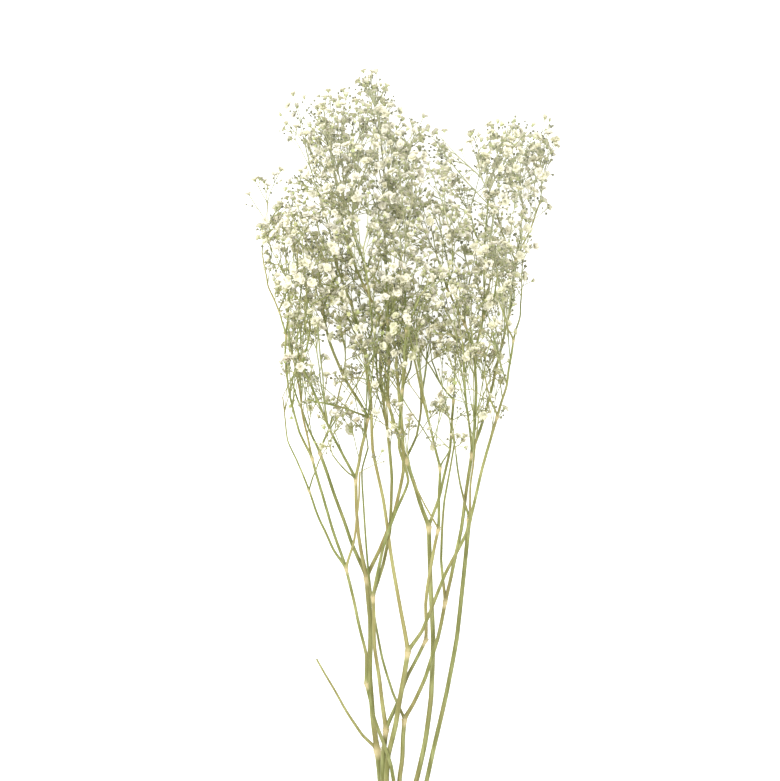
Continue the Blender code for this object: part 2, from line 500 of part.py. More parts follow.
class Skin:
    """A closed mesh that grows along limbs."""

    def __init__(self):
        self.points, self.faces, self.owners = [], [], []

    def add(self, points):
        self.points += list(points)
        return list(range(len(self.points) - len(points), len(self.points)))

    def ring(self, centre, heading, radius, sides, phase=0.0):
        side = unit(np.cross(heading, [0.0, 0.0, 1.0] if abs(heading[2]) < 0.9 else [1.0, 0.0, 0.0]))
        up = np.cross(side, heading)
        turns = [phase + 2 * math.pi * k / sides for k in range(sides)]
        return self.add([centre + radius * (math.cos(t) * side - math.sin(t) * up) for t in turns])

    def azimuth(self, heading, way):
        side = unit(np.cross(heading, [0.0, 0.0, 1.0] if abs(heading[2]) < 0.9 else [1.0, 0.0, 0.0]))
        return math.atan2(-(way @ np.cross(side, heading)), way @ side)

    def phase_of(self, loop, heading):
        """The turn that lines a ring up with this loop, so that the tube between them isn't twisted."""
        return self.azimuth(heading, self.points[loop[0]] - self.middle(loop))

    def middle(self, loop):
        return sum(self.points[i] for i in loop) / len(loop)

    def spokes(self, loop, axis):
        """Where each point of a loop lies round the axis, on a circle of about one unit."""
        offsets = np.array([self.points[i] for i in loop]) - self.middle(loop)
        offsets -= (offsets @ axis)[:, None] * axis
        return offsets / np.linalg.norm(offsets, axis=1).mean()

    def bridge(self, lower, upper):
        """Triangles between two loops that turn the same way, joined where they face the same way."""
        low, high = len(lower), len(upper)
        axis = unit(self.middle(upper) - self.middle(lower))
        spans = [[((a - b) ** 2).sum() for b in self.spokes(upper, axis)] for a in self.spokes(lower, axis)]
        best = None
        for shift in range(high):
            routes = {(0, 0): (0.0, ())}
            for i in range(low + 1):
                for j in range(high + 1):
                    ways = [(i - 1, j), (i, j - 1)]
                    known = [(*routes[way], way) for way in ways if way in routes]
                    if known and (i, j) not in ((low, 0), (0, high)):
                        length, steps, way = min(known, key=lambda option: option[0])
                        span = spans[i % low][(j + shift) % high]
                        routes[i, j] = (length + span, (*steps, way[0] < i))
            if best is None or routes[low, high][0] < best[0]:
                best = (*routes[low, high], shift)
        i, j = 0, best[2]
        for lower_moves in best[1]:
            here, there = lower[i % low], upper[j % high]
            if lower_moves:
                i += 1
                self.faces.append((here, lower[i % low], there))
            else:
                j += 1
                self.faces.append((here, upper[j % high], there))

    def fan(self, loop, tip):
        self.faces += [(a, b, tip) for a, b in zip(loop, loop[1:] + loop[:1])]

    def cap(self, loop):
        self.faces += [(loop[0], a, b) for a, b in zip(loop[1:], loop[2:])]

    def bloom(self, loop, centre, facing):
        """Five pointed petals round a hollow, from the pedicel's end."""
        side = unit(np.cross(facing, [0.31, 0.55, 0.77]))
        up = np.cross(facing, side)
        flat = centre[2] == 0.0
        rim = []
        for k in range(2 * PETALS):
            turn = math.pi * k / PETALS + centre[0]
            reach, lift = (BLOOM_RADIUS, 0.5) if k % 2 == 0 else (BLOOM_WAIST, -0.1)
            spot = centre + reach * (math.cos(turn) * side + math.sin(turn) * up)
            rim.append(spot + facing * (0.0 if flat else lift))
        rim = self.add(rim)
        self.bridge(loop, rim)
        self.fan(rim, self.add([centre - facing * (0.0 if flat else 0.6)])[0])

    def crossed(self):
        """The limbs to drop so that none of this skin's faces runs through another."""
        found = set()
        tree = BVHTree.FromPolygons([tuple(point) for point in self.points], self.faces, epsilon=0.0)
        for one, other in tree.overlap(tree):
            if not set(self.faces[one]) & set(self.faces[other]):
                found.add(id(min(self.owners[one], self.owners[other], key=bloom_count)))
        return found

    def fork(self, limb, loop, heading, sides):
        """The swollen end of a limb, cut into as many faces as it has limbs, which grow from them."""
        end, radius = limb.points[-1], limb.radii[-1]
        swelling = SWELLING if sides > 3 else 1.12
        ways = [unit(child.points[1] - end) for child in limb.limbs]
        heading = unit(sum(ways) + 0.2 * heading)
        order = sorted(range(len(ways)), key=lambda k: self.azimuth(heading, ways[k]))
        shares = [sides // len(ways) + (k < sides % len(ways)) for k in range(len(ways))]
        starts = [sum(shares[:k]) for k in range(len(ways))]
        middles = [2 * math.pi * (start + share / 2) / sides for start, share in zip(starts, shares)]
        turns = [self.azimuth(heading, ways[k]) - middle for k, middle in zip(order, middles)]
        phase = math.atan2(sum(map(math.sin, turns)), sum(map(math.cos, turns)))
        hub = self.ring(end, heading, radius * swelling, sides, phase)
        self.bridge(loop, hub)
        tip = self.add([end + heading * radius * swelling * 0.9])[0]
        for k, start, share in zip(order, starts, shares):
            face = [hub[(start + step) % sides] for step in range(share + 1)] + [tip]
            self.grow(limb.limbs[k], face)
        self.own(limb)

    def own(self, limb):
        self.owners += [limb] * (len(self.faces) - len(self.owners))

    def grow(self, limb, loop=None, heading=None):
        points = limb.points
        for i in range(len(points)):
            last = i == len(points) - 1
            before, after = points[max(i - 1, 0)], points[min(i + 1, len(points) - 1)]
            if i > 0 or heading is None:
                heading = unit(after - before)
            radius = limb.radii[i]
            sides = 6 if radius > 1.25 else 4 if radius > 0.9 else 3
            if i == 0 and loop is not None:
                continue
            phase = self.phase_of(loop, heading) if loop else 0.0
            if last and limb.limbs:
                if sides > 3:
                    ring = self.ring(points[i] - heading * radius * 1.6, heading, radius, sides, phase)
                    self.bridge(loop, ring)
                    loop = ring
                self.fork(limb, loop, heading, sides)
                return
            ring = self.ring(points[i], heading, radius, sides, phase)
            if loop is None:
                self.cap(ring[::-1])
            else:
                self.bridge(loop, ring)
            loop = ring
        if limb.bloom:
            self.bloom(loop, *limb.bloom)
        else:
            self.cap(loop)
        self.own(limb)


def dried(name, colour, roughness):
    material = bpy.data.materials.new(name)
    material.use_nodes = True
    shader = material.node_tree.nodes["Principled BSDF"]
    shader.inputs["Base Color"].default_value = (*colour, 1)
    shader.inputs["Roughness"].default_value = roughness
    shader.inputs["Metallic"].default_value = 0.0
    return material


def solid(name, limb, material, heading=None):
    """The limb as one closed body, less any twig whose faces would run through the others."""
    while True:
        skin = Skin()
        skin.grow(limb, heading=heading)
        crossed = skin.crossed()
        if not crossed:
            break
        limb = without(limb, crossed)
    mesh = bpy.data.meshes.new(name)
    mesh.from_pydata([tuple(point * MM) for point in skin.points], [], skin.faces)
    mesh.materials.append(material)
    made = bpy.data.objects.new(name, mesh)
    bpy.context.scene.collection.objects.link(made)
    return made


def main():
    for old in list(bpy.data.objects):
        bpy.data.objects.remove(old)
    draw = random.Random(SEED)
    framework = Framework()
    tips = list(framework.tips())
    shares = [[] for _ in tips]
    for spot in bloom_places(framework, draw):
        shares[nearest_tip(spot, tips)].append(spot)
    sprays = {
        name: spray(end, heading, radius, blooms)
        for (name, end, heading, radius), blooms in zip(tips, shares)
        if blooms
    }
    sprays = thinned(framework, sprays)
    solid("stem", framework.limb("stalk"), dried("dry_stem", (0.33, 0.29, 0.10), 0.6))
    petals = dried("dry_petal", (0.78, 0.72, 0.52), 0.8)
    for name, _, heading, _ in tips:
        if name in sprays:
            solid("spray_" + name, sprays[name], petals, heading)


main()
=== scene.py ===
"""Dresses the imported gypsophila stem. The same branches and twigs as the solids', grown from the same numbers
and the same seed, get round sections, swollen knots and scale leaves, and each bloom of the solids becomes a
small cyme of crumpled florets and buds. Thinner side branchings and long bare twigs fill the crown.

+X is to the right, +Y runs along the plant towards its tips and +Z is up. Lengths are in millimetres until a
mesh is made.
"""

import math
import random
from dataclasses import dataclass, field
from math import cos, pi, sin, tau

import bpy
import numpy as np
from numpy.linalg import norm
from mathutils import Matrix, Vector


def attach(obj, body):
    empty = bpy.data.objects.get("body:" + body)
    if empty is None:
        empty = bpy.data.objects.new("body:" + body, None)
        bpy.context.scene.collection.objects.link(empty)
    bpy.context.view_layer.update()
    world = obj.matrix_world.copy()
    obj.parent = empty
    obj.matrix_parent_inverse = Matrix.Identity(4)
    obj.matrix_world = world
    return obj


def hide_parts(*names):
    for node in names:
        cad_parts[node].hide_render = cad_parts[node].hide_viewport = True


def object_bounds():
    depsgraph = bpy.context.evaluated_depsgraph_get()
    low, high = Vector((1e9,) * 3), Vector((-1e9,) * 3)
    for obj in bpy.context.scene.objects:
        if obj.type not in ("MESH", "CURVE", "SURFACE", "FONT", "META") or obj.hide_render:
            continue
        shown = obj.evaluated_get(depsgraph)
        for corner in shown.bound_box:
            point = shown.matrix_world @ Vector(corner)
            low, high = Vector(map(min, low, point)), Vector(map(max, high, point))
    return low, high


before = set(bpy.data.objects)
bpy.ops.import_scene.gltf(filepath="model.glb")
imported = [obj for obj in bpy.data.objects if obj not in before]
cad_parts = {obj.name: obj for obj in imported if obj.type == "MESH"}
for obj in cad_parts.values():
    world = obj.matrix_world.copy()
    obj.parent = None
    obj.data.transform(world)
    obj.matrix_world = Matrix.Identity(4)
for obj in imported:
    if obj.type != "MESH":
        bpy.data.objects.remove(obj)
CAD_BOX = [list(corner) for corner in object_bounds()]

MM = 0.001
BOX_LOW, BOX_HIGH = (np.array(corner) / MM for corner in CAD_BOX)
PIXEL = 0.80  # millimetres of plant under one pixel of the photograph
PLAN_X, PLAN_Y = 400.1, 486.0  # the pixel over the origin

# The plant's own thickness: the height of its middle, and half of its depth, at these rows of the photograph.
ROWS = (68, 110, 160, 300, 400, 500, 620, 781, 845, 905)
MIDDLE_HEIGHT = (64, 68, 70, 70, 64, 53, 38, 17, 9, 3.3)
HALF_DEPTH = (28, 48, 62, 66, 54, 40, 27, 12, 6, 1)

STALK_HEIGHT = 2.705  # of its middle at the cut end, where one of its six sides lies on the table
SEAT_GAP = 0.3  # between a branch's end and the spray that grows on it
CLEARANCE = 0.35  # least space between things that only pass each other
SWELLING = 1.4  # how much wider a branch is at its fork
TWIG_RADIUS = 0.5
BLOOM_RADIUS = 3.9
BLOOM_HEIGHT = 2.3  # from the end of its pedicel to its rim
LEAST_BLOOM_HEIGHT = 5.5
SIDEWAYS = 0.15  # how much sooner a twig forks for a bloom that lies to its side
LEAST_PEDICEL = 4.0
LEAST_FORK_ANGLE = math.radians(14)
LEAST_STRETCH = 3.0
FORK_PARTS = (0.42, 0.5, 0.6, 0.7)  # how far towards its blooms a twig forks: the first that parts them
CROWN_BLOOMS = 590
SEED = 1732


def pixels(text):
    """The places in the photograph that a text lists."""
    return [tuple(float(number) for number in place.split(",")) for place in text.split()]


def rows(table):
    """Each row of a table: its words, and the pixels after its colon."""
    parted = (row.split(":") for row in table.strip().split("\n"))
    return [(words.split(), pixels(route)) for words, route in parted]


# Each branch: name, what it grows from, its share of the half depth at its end, its widths in pixels at both
# ends, and its route in pixels of the photograph, from just past its parent's end to its own end.
BRANCHES = """
stalk - 0 7.8 7.2: 396,905 396,890 395,872
stalk_middle stalk 0 6.4 6: 394.5,846
stalk_top stalk_middle 0.2 5.6 5.2: 393.5,823
west_foot stalk -0.6 5 4.6: 387,838 381.5,795 377,752
broken_twig west_foot -0.9 2.6 1.6: 362,738 346,713 330,686 316,661
west west_foot -0.4 4.4 4: 372,715 370,680 370,620 366.5,578
west_a west -0.35 3 2.6: 350,540 338,505 319.5,453
west_a1 west_a -0.7 2 1.4: 309,430 298,402 291,380
west_a2 west_a -0.1 1.8 1.3: 331,422 341,385
west_b west 0.05 2.9 2.6: 358,535 355.5,479
west_b1 west_b 0.4 2.2 1.8: 343,455 332,433 319,404 302,365
west_b1a west_b1 0.55 1.6 1.2: 308,345 312,305
west_b1b west_b1 0.15 1.5 1.2: 296,345
west_b2 west_b -0.15 2.6 2.4: 362,447 368,418
west_b2a west_b2 0.25 1.8 1.3: 372,385
west_b2b west_b2 0.75 1.7 1.2: 350,410 325,403 308,400
west_b2c west_b2 -0.3 2.5 1.8: 357,398 342,374 329,340 322,310 318,262
west_b3 west_b 0.7 1.4 1.1: 343,468 333,455
west_c west 0.15 3 2.4: 380,549 395,512 403,472 402,425 396,362
slim stalk_top 0.75 3 2.7: 395,790 391,768 384,747 374,718 366,684
slim_top slim 0.65 2.7 2.5: 366,655 358,620 346,568
slim_a slim_top 0.55 2.2 1.8: 334,550 321,523 309,490
slim_a1 slim_a 0.45 1.6 1.1: 297,460 288,440 283,397
slim_a2 slim_a 0.85 1.3 1.1: 320,459
slim_b slim_top 0.2 2.5 2.2: 338,545 325,505 312,458
slim_b1 slim_b 0.05 2 1.7: 299,432 290,395 285,356 286,335
slim_b1a slim_b1 -0.05 1.5 1.2: 279,311 268,285 262,252
slim_b1b slim_b1 0.4 1.4 1.1: 289,305 288,285
slim_b2 slim_b -0.4 1.8 1.3: 302,412 297,376 290,348
slim_c slim_top 0.8 2.2 1.4: 353,545 358,510 360,472
inner stalk_middle 0.1 4.4 4: 388,815 383,781 383.5,755 386,731
inner_a inner 0.1 3.2 2.8: 381,695 375,650 373,597
inner_a1 inner_a -0.5 2.8 1.8: 383,565 390,530 392,479 387,430 380,365 383,322 364,286 349,250 342,222
inner_a2 inner_a 0.5 2.6 1.5: 383,548 396,512 408,481 399,447 402,390 406,330 404,272
inner_b inner 0.1 3 2.8: 397,705 409,675 426,641
inner_b1 inner_b 0.25 2.8 2.6: 426,606 430,570 438.5,529
inner_b1a inner_b1 0.3 2.5 2.2: 439,505 440,467
inner_b1b inner_b1a 0.3 2.2 1.4: 432,436 423,398 413,355 408,325
inner_b1c inner_b1a 0.75 1.4 1.1: 450,449
inner_b2 inner_b1 0.85 1.5 1.1: 425,506 413,479
middle stalk_top 0.45 4.2 4: 386.5,787 388,757 396,725 402,690 408,652
middle_a middle -0.2 3.2 1.6: 399,600 391,555 383,500 373,450 371,400 364,350 350,300 336,265 331,237
middle_b middle 0.6 3 2.3: 422,632 446,573 466,533 482,468 497,416
middle_b1 middle_b 0.4 1.9 1.7: 506,385 513,340
middle_b1a middle_b1 0.7 1.4 1.1: 507,328 500,306
middle_b1b middle_b1 -0.1 1.4 1.1: 520,315 522,285
middle_b2 middle_b 0.85 1.6 1.2: 489,397 484,376
east_mid stalk_top -0.2 3.8 3.5: 398,798 401.5,768 404.5,721
east_mid_a east_mid -0.25 2.2 1.4: 393,695 382,660 373,612 368,570 364,510 362,470 368,448
east_mid_b east_mid 0.05 3.2 3: 413,706 426,678 438,640 445.5,602
east_mid_b1 east_mid_b 0 3 2.8: 452,575 461,530 472,453
east_mid_b1a east_mid_b1 0.75 2 1.3: 466,400 462,343
east_mid_b1b east_mid_b1 0.05 2.5 2.2: 476,405 475,352
east_mid_b1c east_mid_b1b -0.2 2.1 1.5: 465,325 447,288 437,256
east_mid_b1d east_mid_b1b 0.1 1.8 1.3: 484,315 484,250 488,200
east_mid_b1e east_mid_b1 -0.45 2.4 2.1: 486,412 500,354
east_mid_b1f east_mid_b1e -0.85 1.4 1.1: 490,336
east_mid_b1g east_mid_b1e -0.35 2 1.7: 510,312 516,260
east_mid_b1h east_mid_b1g 0 1.4 1.1: 505,240 497,216
east_mid_b1i east_mid_b1g -0.75 1.5 1.2: 521,235 524,207
east_mid_b1j east_mid_b1g -0.3 1.6 1.2: 530,230 541,200
east_mid_b2 east_mid_b -0.45 2.4 1.4: 441,560 445,500 455,442
east stalk_middle -0.6 4.4 3.6: 405,820 417,781 425,745 431,700 433.5,640 431,585 429,527
east_a east -0.3 3.4 3: 419,500 406,459
east_a1 east_a -0.1 2.8 2.4: 397,432 388,403
east_a1a east_a1 -0.55 2 1.5: 378,383 376,353
east_a1b east_a1 0.1 2.2 2: 389,360 388,320 387,294
east_a1c east_a1b 0.3 1.5 1.2: 368,269 357,246 352,228
east_a1d east_a1b -0.05 1.6 1.2: 386,262 384,232
east_a2 east_a -0.65 2 1.4: 417,436 423,390 428,352
east_b east -0.75 2.4 2: 441,493 450,450 454,400
east_b1 east_b -0.5 1.6 1.2: 456,356
east_b2 east_b -0.9 1.5 1.1: 442,386 432,360
far stalk 0 3.8 3.5: 404,842 423,800 434,750 446,697 457,640 464,578 469.5,519
far_a far 0.25 2 1.4: 460,485 456,455
far_b far 0.6 2 1.3: 471,480 477,430
far_c far -0.5 2 1.3: 478,490 490,440 503,400
"""

# The twigs that leave a branch on its way: name, the branch, which point of its route it leaves at, its share
# of the half depth at its end, its widths and its route.
SIDE_TWIGS = """
inner_a1_side inner_a1 5 0.55 1.7 1.3: 391,305 398,294
inner_a1_low inner_a1 6 -0.75 1.6 1.3: 375,272 380,258
inner_a2_side inner_a2 5 0.85 1.6 1.3: 414,312 420,296
inner_a2_low inner_a2 4 -0.5 1.6 1.3: 410,368 414,344
middle_a_low middle_a 5 -0.7 1.6 1.3: 354,332 346,312
middle_a_side middle_a 6 0.35 1.6 1.3: 338,286 330,272
middle_a_top middle_a 5 0.8 1.6 1.3: 372,330 370,300 366,270
east_mid_b1c_side east_mid_b1c 0 -0.7 1.7 1.3: 466,302 470,280
east_mid_b1c_top east_mid_b1c 1 0.7 1.6 1.3: 452,270 452,250
east_mid_b1d_side east_mid_b1d 0 0.75 1.6 1.3: 493,298 497,276
east_mid_b1d_low east_mid_b1d 1 -0.55 1.5 1.2: 476,234 472,218
east_a1b_low east_a1b 0 -0.9 1.6 1.3: 398,340 404,312
east_a1b_top east_a1b 1 0.85 1.6 1.3: 396,300 400,274
east_a1c_low east_a1c 0 -0.35 1.5 1.2: 372,250 374,236
west_b2c_side west_b2c 3 -0.8 1.6 1.3: 330,290 338,268
slim_b1a_side slim_b1a 0 0.5 1.4 1.1: 286,295 296,278
east_mid_b1g_side east_mid_b1g 0 0.5 1.5 1.2: 514,292 507,272
"""

# The edge of the flowering crown, clockwise from its lower left.
CROWN_EDGE = pixels("""
288,345 280,300 262,262 259,226 281,206 284,186 300,172 312,160 306,140 302,118 304,98 326,96 345,92 364,78
378,80 392,100 406,118 426,124 437,140 448,160 462,180 471,205 483,196 478,166 474,144 492,134 510,120
530,124 546,132 551,160 548,182 536,210 527,262 514,305 502,352 462,372 424,352 372,358 352,345 322,334
""")
# Places inside that edge where the background shows through: centre and half sizes.
CROWN_GAPS = ((361, 230, 10, 27), (463, 222, 5, 8), (352, 150, 4, 10), (473, 192, 6, 7))

# The blooms that stand out past the edge, each on its own long pedicel.
RIM_BLOOMS = pixels("""
280,114 286,123 297,106 293,94 304,93 314,99 328,90 338,82 351,69 363,70 376,69 371,76 387,85 401,95 403,112
413,123 424,116 436,132 442,145 450,155 465,171 458,179 464,184 474,186 452,194 470,142 472,132 488,139
492,126 498,121 516,115 526,117 533,125 539,129 545,118 550,119 548,134 556,141 552,152 549,172 541,231
530,246 264,181 271,182 281,170 249,194 255,180 260,226 260,244 275,318 283,381 281,206 272,282
""")
# The sparse blooms below the crown, among the branches.
LOW_BLOOMS = pixels("""
302,383 300,397 318,408 327,400 291,419 315,414 324,427 350,428 338,416 352,402 361,373 345,377 336,383
357,420 372,452 383,450 398,435 412,432 429,428 410,415 424,404 434,404 446,410 403,385 412,372 420,384
438,368 460,370 484,372 452,436 444,430 464,440 433,446 330,452 322,446 414,470 385,376 356,384 367,367
498,372 474,408 312,366 304,356 400,405 440,394
""")
# The blooms that the plant's weight presses flat on the table.
FLOOR_BLOOMS = pixels("300,262 404,300 330,330 496,284 528,160 508,230 318,150 402,190")


@dataclass
class Limb:
    """A stretch of branch or twig. It ends in up to three more limbs, in a bloom, or in a cut."""

    points: list
    radii: list
    bloom: tuple = None  # the bloom's centre and the way it faces
    limbs: list = field(default_factory=list)


def unit(vector):
    return vector / max(norm(vector), 1e-9)


def place(px, py, share):
    """The point of the plant under a pixel, at this share of its half depth."""
    height = np.interp(py, ROWS, MIDDLE_HEIGHT) + share * np.interp(py, ROWS, HALF_DEPTH)
    return np.array([(px - PLAN_X) * PIXEL, (PLAN_Y - py) * PIXEL, height])


def closest(first, second):
    """The distances between two lists of straight stretches, and where along each its nearest point is."""
    a, b = first[:, None, 0], first[:, None, 1] - first[:, None, 0]
    c, d = second[None, :, 0], second[None, :, 1] - second[None, :, 0]
    between = a - c
    bb, dd, bd = (b * b).sum(-1), (d * d).sum(-1), (b * d).sum(-1)
    b_gap, d_gap = (b * between).sum(-1), (d * between).sum(-1)
    spread = np.maximum(bb * dd - bd * bd, 1e-9)
    along = np.clip((bd * d_gap - dd * b_gap) / spread, 0, 1)
    other = np.clip((bd * along + d_gap) / dd, 0, 1)
    along = np.clip((bd * other - b_gap) / bb, 0, 1)
    offset = between + along[..., None] * b - other[..., None] * d
    return norm(offset, axis=-1), along, other


class Framework:
    """The branches as points with radii, and the stretches between them."""

    def __init__(self):
        self.pixels, self.rises, self.radii, self.joins, self.runs, self.parents = [], [], [], [], {}, {}
        for (name, parent, *numbers), route in rows(BRANCHES):
            self.lay(name, parent, route, *map(float, numbers))
        whole = dict(self.runs)
        for (name, branch, at, *numbers), route in rows(SIDE_TWIGS):
            self.lay(name, self.parted(whole[branch][int(at) + 1]), route, *map(float, numbers))
        self.points = np.array([place(*pixel, rise) for pixel, rise in zip(self.pixels, self.rises)])
        self.points[self.runs["stalk"][:2], 2] = STALK_HEIGHT
        self.settle()

    def lay(self, name, parent, route, share, width, end_width):
        """Adds a branch that starts at its parent's end."""
        run = self.runs[parent][-1:] if parent in self.runs else []
        corners = [self.pixels[i] for i in run] + route
        lengths = [0.0]
        for before, after in zip(corners, corners[1:]):
            lengths.append(lengths[-1] + math.dist(before, after))
        first = self.rises[run[0]] if run else share
        for corner, length in list(zip(corners, lengths))[len(run):]:
            part = length / lengths[-1]
            self.pixels.append(corner)
            self.rises.append(first + (share - first) * (1 - (1 - part) ** 2))
            self.radii.append((width + (end_width - width) * part) * PIXEL / 2)
            run.append(len(self.pixels) - 1)
        self.joins += zip(run, run[1:])
        self.runs[name], self.parents[name] = run, parent

    def parted(self, point):
        """The name of the branch that ends at this point, after parting the one that runs through it."""
        name = next(name for name, run in self.runs.items() if point in run[1:])
        run = self.runs[name]
        if run[-1] == point:
            return name
        foot = name + "_foot"
        while foot in self.runs:
            foot += "_foot"
        cut = run.index(point)
        self.runs[foot], self.runs[name] = run[: cut + 1], run[cut:]
        self.parents[foot], self.parents[name] = self.parents[name], foot
        return foot

    def stretches(self):
        ends = np.array(self.joins)
        radii = np.array(self.radii)[ends].max(axis=1)
        return self.points[ends], radii, ends

    def settle(self):
        """Branches that would run through each other part, the upper one up and the lower one down."""
        for _ in range(160):
            lines, radii, ends = self.stretches()
            gaps, along, other = closest(lines, lines)
            wanted = radii[:, None] + radii[None, :] + 1.2
            joined = (ends[:, None, :, None] == ends[None, :, None, :]).any(axis=(2, 3))
            crowded = np.argwhere(np.triu((gaps < wanted) & ~joined, 1))
            if not len(crowded):
                return
            for i, j in crowded:
                s, t = along[i, j], other[i, j]
                (low, high), (other_low, other_high) = lines[i], lines[j]
                rise = low + s * (high - low) - other_low - t * (other_high - other_low)
                push = 0.25 * (wanted[i, j] - gaps[i, j] + 0.2) * (1 if rise[2] >= 0 else -1)
                for stretch, share, way in ((i, s, push), (j, t, -push)):
                    self.points[ends[stretch][0], 2] += way * (1 - share)
                    self.points[ends[stretch][1], 2] += way * share
            lowest = np.array(self.radii) * SWELLING + 0.2
            lowest[self.runs["stalk"][:2]] = 0.0
            self.points[:, 2] = np.maximum(self.points[:, 2], lowest)

    def limb(self, name):
        run = self.runs[name]
        made = Limb([self.points[i] for i in run], [self.radii[i] for i in run])
        made.limbs = [self.limb(child) for child, parent in self.parents.items() if parent == name]
        return made

    def tips(self):
        """Where each spray grows: the branch's end, the way it points and its radius there."""
        for name, run in self.runs.items():
            if name not in self.parents.values() and name != "broken_twig":
                end, before = self.points[run[-1]], self.points[run[-2]]
                yield name, end, unit(end - before), self.radii[run[-1]]


def inside(point, edge):
    odd = False
    for (x1, y1), (x2, y2) in zip(edge, edge[1:] + edge[:1]):
        if (y1 > point[1]) != (y2 > point[1]) and point[0] < x1 + (point[1] - y1) * (x2 - x1) / (y2 - y1):
            odd = not odd
    return odd


def edge_distance(point, edge):
    starts = np.array(edge, float)
    runs = np.roll(starts, -1, axis=0) - starts
    share = np.clip(((point - starts) * runs).sum(1) / (runs * runs).sum(1), 0, 1)
    return norm(starts + share[:, None] * runs - point, axis=1).min()


def in_gap(px, py):
    return any(((px - x) / w) ** 2 + ((py - y) / h) ** 2 < 1 for x, y, w, h in CROWN_GAPS)


def bloom_places(framework, draw):
    """The blooms' centres: those listed, then more all through the crown, apart from each other."""
    lines, radii, _ = framework.stretches()
    placed = [place(px, py, draw.uniform(-0.3, 0.3)) for px, py in RIM_BLOOMS]
    placed += [place(px, py, draw.uniform(-0.9, 0.9)) for px, py in LOW_BLOOMS]
    for spot in placed:
        spot[2] = max(spot[2], LEAST_BLOOM_HEIGHT)
    placed += [np.array([*place(px, py, 0)[:2], 0.0]) for px, py in FLOOR_BLOOMS]
    wanted = len(placed) + CROWN_BLOOMS
    xs, ys = zip(*CROWN_EDGE)
    for _ in range(40000):
        if len(placed) >= wanted:
            break
        px, py = draw.uniform(min(xs), max(xs)), draw.uniform(min(ys), max(ys))
        depth = draw.uniform(-1, 1)
        if not inside((px, py), CROWN_EDGE) or in_gap(px, py):
            continue
        depth = math.copysign(abs(depth) ** 0.65, depth)
        fullness = math.sqrt(1 - (1 - min(edge_distance(np.array([px, py]), CROWN_EDGE) / 55, 1)) ** 2)
        spot = place(px, py, depth * (0.25 + 0.75 * fullness))
        spot[2] = max(spot[2], LEAST_BLOOM_HEIGHT)
        away = np.array(placed) - spot
        if (norm(away, axis=1) < 10.5).any() or (norm(away[:, :2], axis=1) < 5).any():
            continue
        ray = np.array([[spot, spot + [0, 0, 0.01]]])
        if (closest(ray, lines)[0][0] < radii + BLOOM_RADIUS + 1.0).any():
            continue
        placed.append(spot)
    return placed


def nearest_tip(spot, tips):
    """The branch end that reaches this bloom with the shortest and straightest twigs."""
    costs = []
    for _, end, heading, _ in tips:
        way = spot - end
        reach = norm(way)
        costs.append(reach * (2.2 - 1.2 * (way @ heading) / reach) + (200 if reach < 9 else 0))
    return int(np.argmin(costs))


def bundled(base, blooms):
    """The blooms in up to three bundles, each in a direction of its own from the base."""
    ways = np.array([unit(spot - base) for spot in blooms])
    first = int(np.argmin(ways @ unit(ways.mean(axis=0))))
    second = int(np.argmin(ways @ ways[first]))
    third = int(np.argmin(np.maximum(ways @ ways[first], ways @ ways[second])))
    centres = ways[sorted({first, second, third})]
    for _ in range(6):
        owner = (ways @ centres.T).argmax(axis=1)
        centres = np.array([unit(ways[owner == k].sum(axis=0) + 1e-6 * old) for k, old in enumerate(centres)])
    while len(set(owner)) > 1:
        used = sorted(set(owner))
        middles = {k: unit(ways[owner == k].sum(axis=0)) for k in used}
        pairs = ((k, m) for k in used for m in used if k < m)
        one, other = max(pairs, key=lambda pair: middles[pair[0]] @ middles[pair[1]])
        if middles[one] @ middles[other] < math.cos(LEAST_FORK_ANGLE):
            break
        owner = np.where(owner == other, one, owner)
    return [[spot for spot, k in zip(blooms, owner) if k == wanted] for wanted in sorted(set(owner))]


def twig(base, heading, blooms, radius):
    """The limb from here to its blooms: one straight stretch to a fork, or one pedicel."""
    if len(blooms) == 1:
        spot = blooms[0]
        if spot[2] == 0.0:
            down = np.array([0.0, 0.0, -1.0])
            foot = spot - down * BLOOM_HEIGHT
            knee = foot - down * 3.5 - unit(spot - base) * [1, 1, 0] * 1.5
            return Limb([base, knee, foot], [radius, TWIG_RADIUS, TWIG_RADIUS], (spot, down))
        facing = unit(unit(spot - base) + 0.35 * heading)
        foot = spot - facing * BLOOM_HEIGHT
        return Limb([base, foot], [radius, TWIG_RADIUS], (spot, facing))
    ways = np.array([spot - base for spot in blooms])
    course = unit(unit(ways.mean(axis=0)) + 0.25 * heading)
    along = ways @ course
    limits = along - SIDEWAYS * norm(ways - along[:, None] * course, axis=1) - LEAST_PEDICEL
    reachable = limits > LEAST_STRETCH
    if not reachable.any():
        return twig(base, heading, [blooms[int(np.argmax(limits))]], radius)
    blooms = [spot for spot, kept in zip(blooms, reachable) if kept]
    for part in FORK_PARTS:
        length = min(part * norm(ways[reachable], axis=1).mean(), limits[reachable].min())
        fork = base + course * max(length, LEAST_STRETCH)
        fork[2] = max(fork[2], 2.5)
        bundles = bundled(fork, blooms)
        if len(bundles) > 1:
            break
    end_radius = max(TWIG_RADIUS, radius * 0.86)
    made = Limb([base, fork], [radius, end_radius])
    if len(bundles) > 1:
        made.limbs = [twig(fork, course, bundle, max(TWIG_RADIUS, end_radius * 0.9)) for bundle in bundles]
        return made
    rest = twig(fork, course, bundles[0], end_radius)
    made.points[1:], made.radii[1:] = rest.points[1:], rest.radii[1:]
    made.bloom, made.limbs = rest.bloom, rest.limbs
    return made


def spray(end, heading, radius, blooms):
    start = end + heading * SEAT_GAP
    return twig(start, heading, blooms, max(TWIG_RADIUS, radius * 0.95))


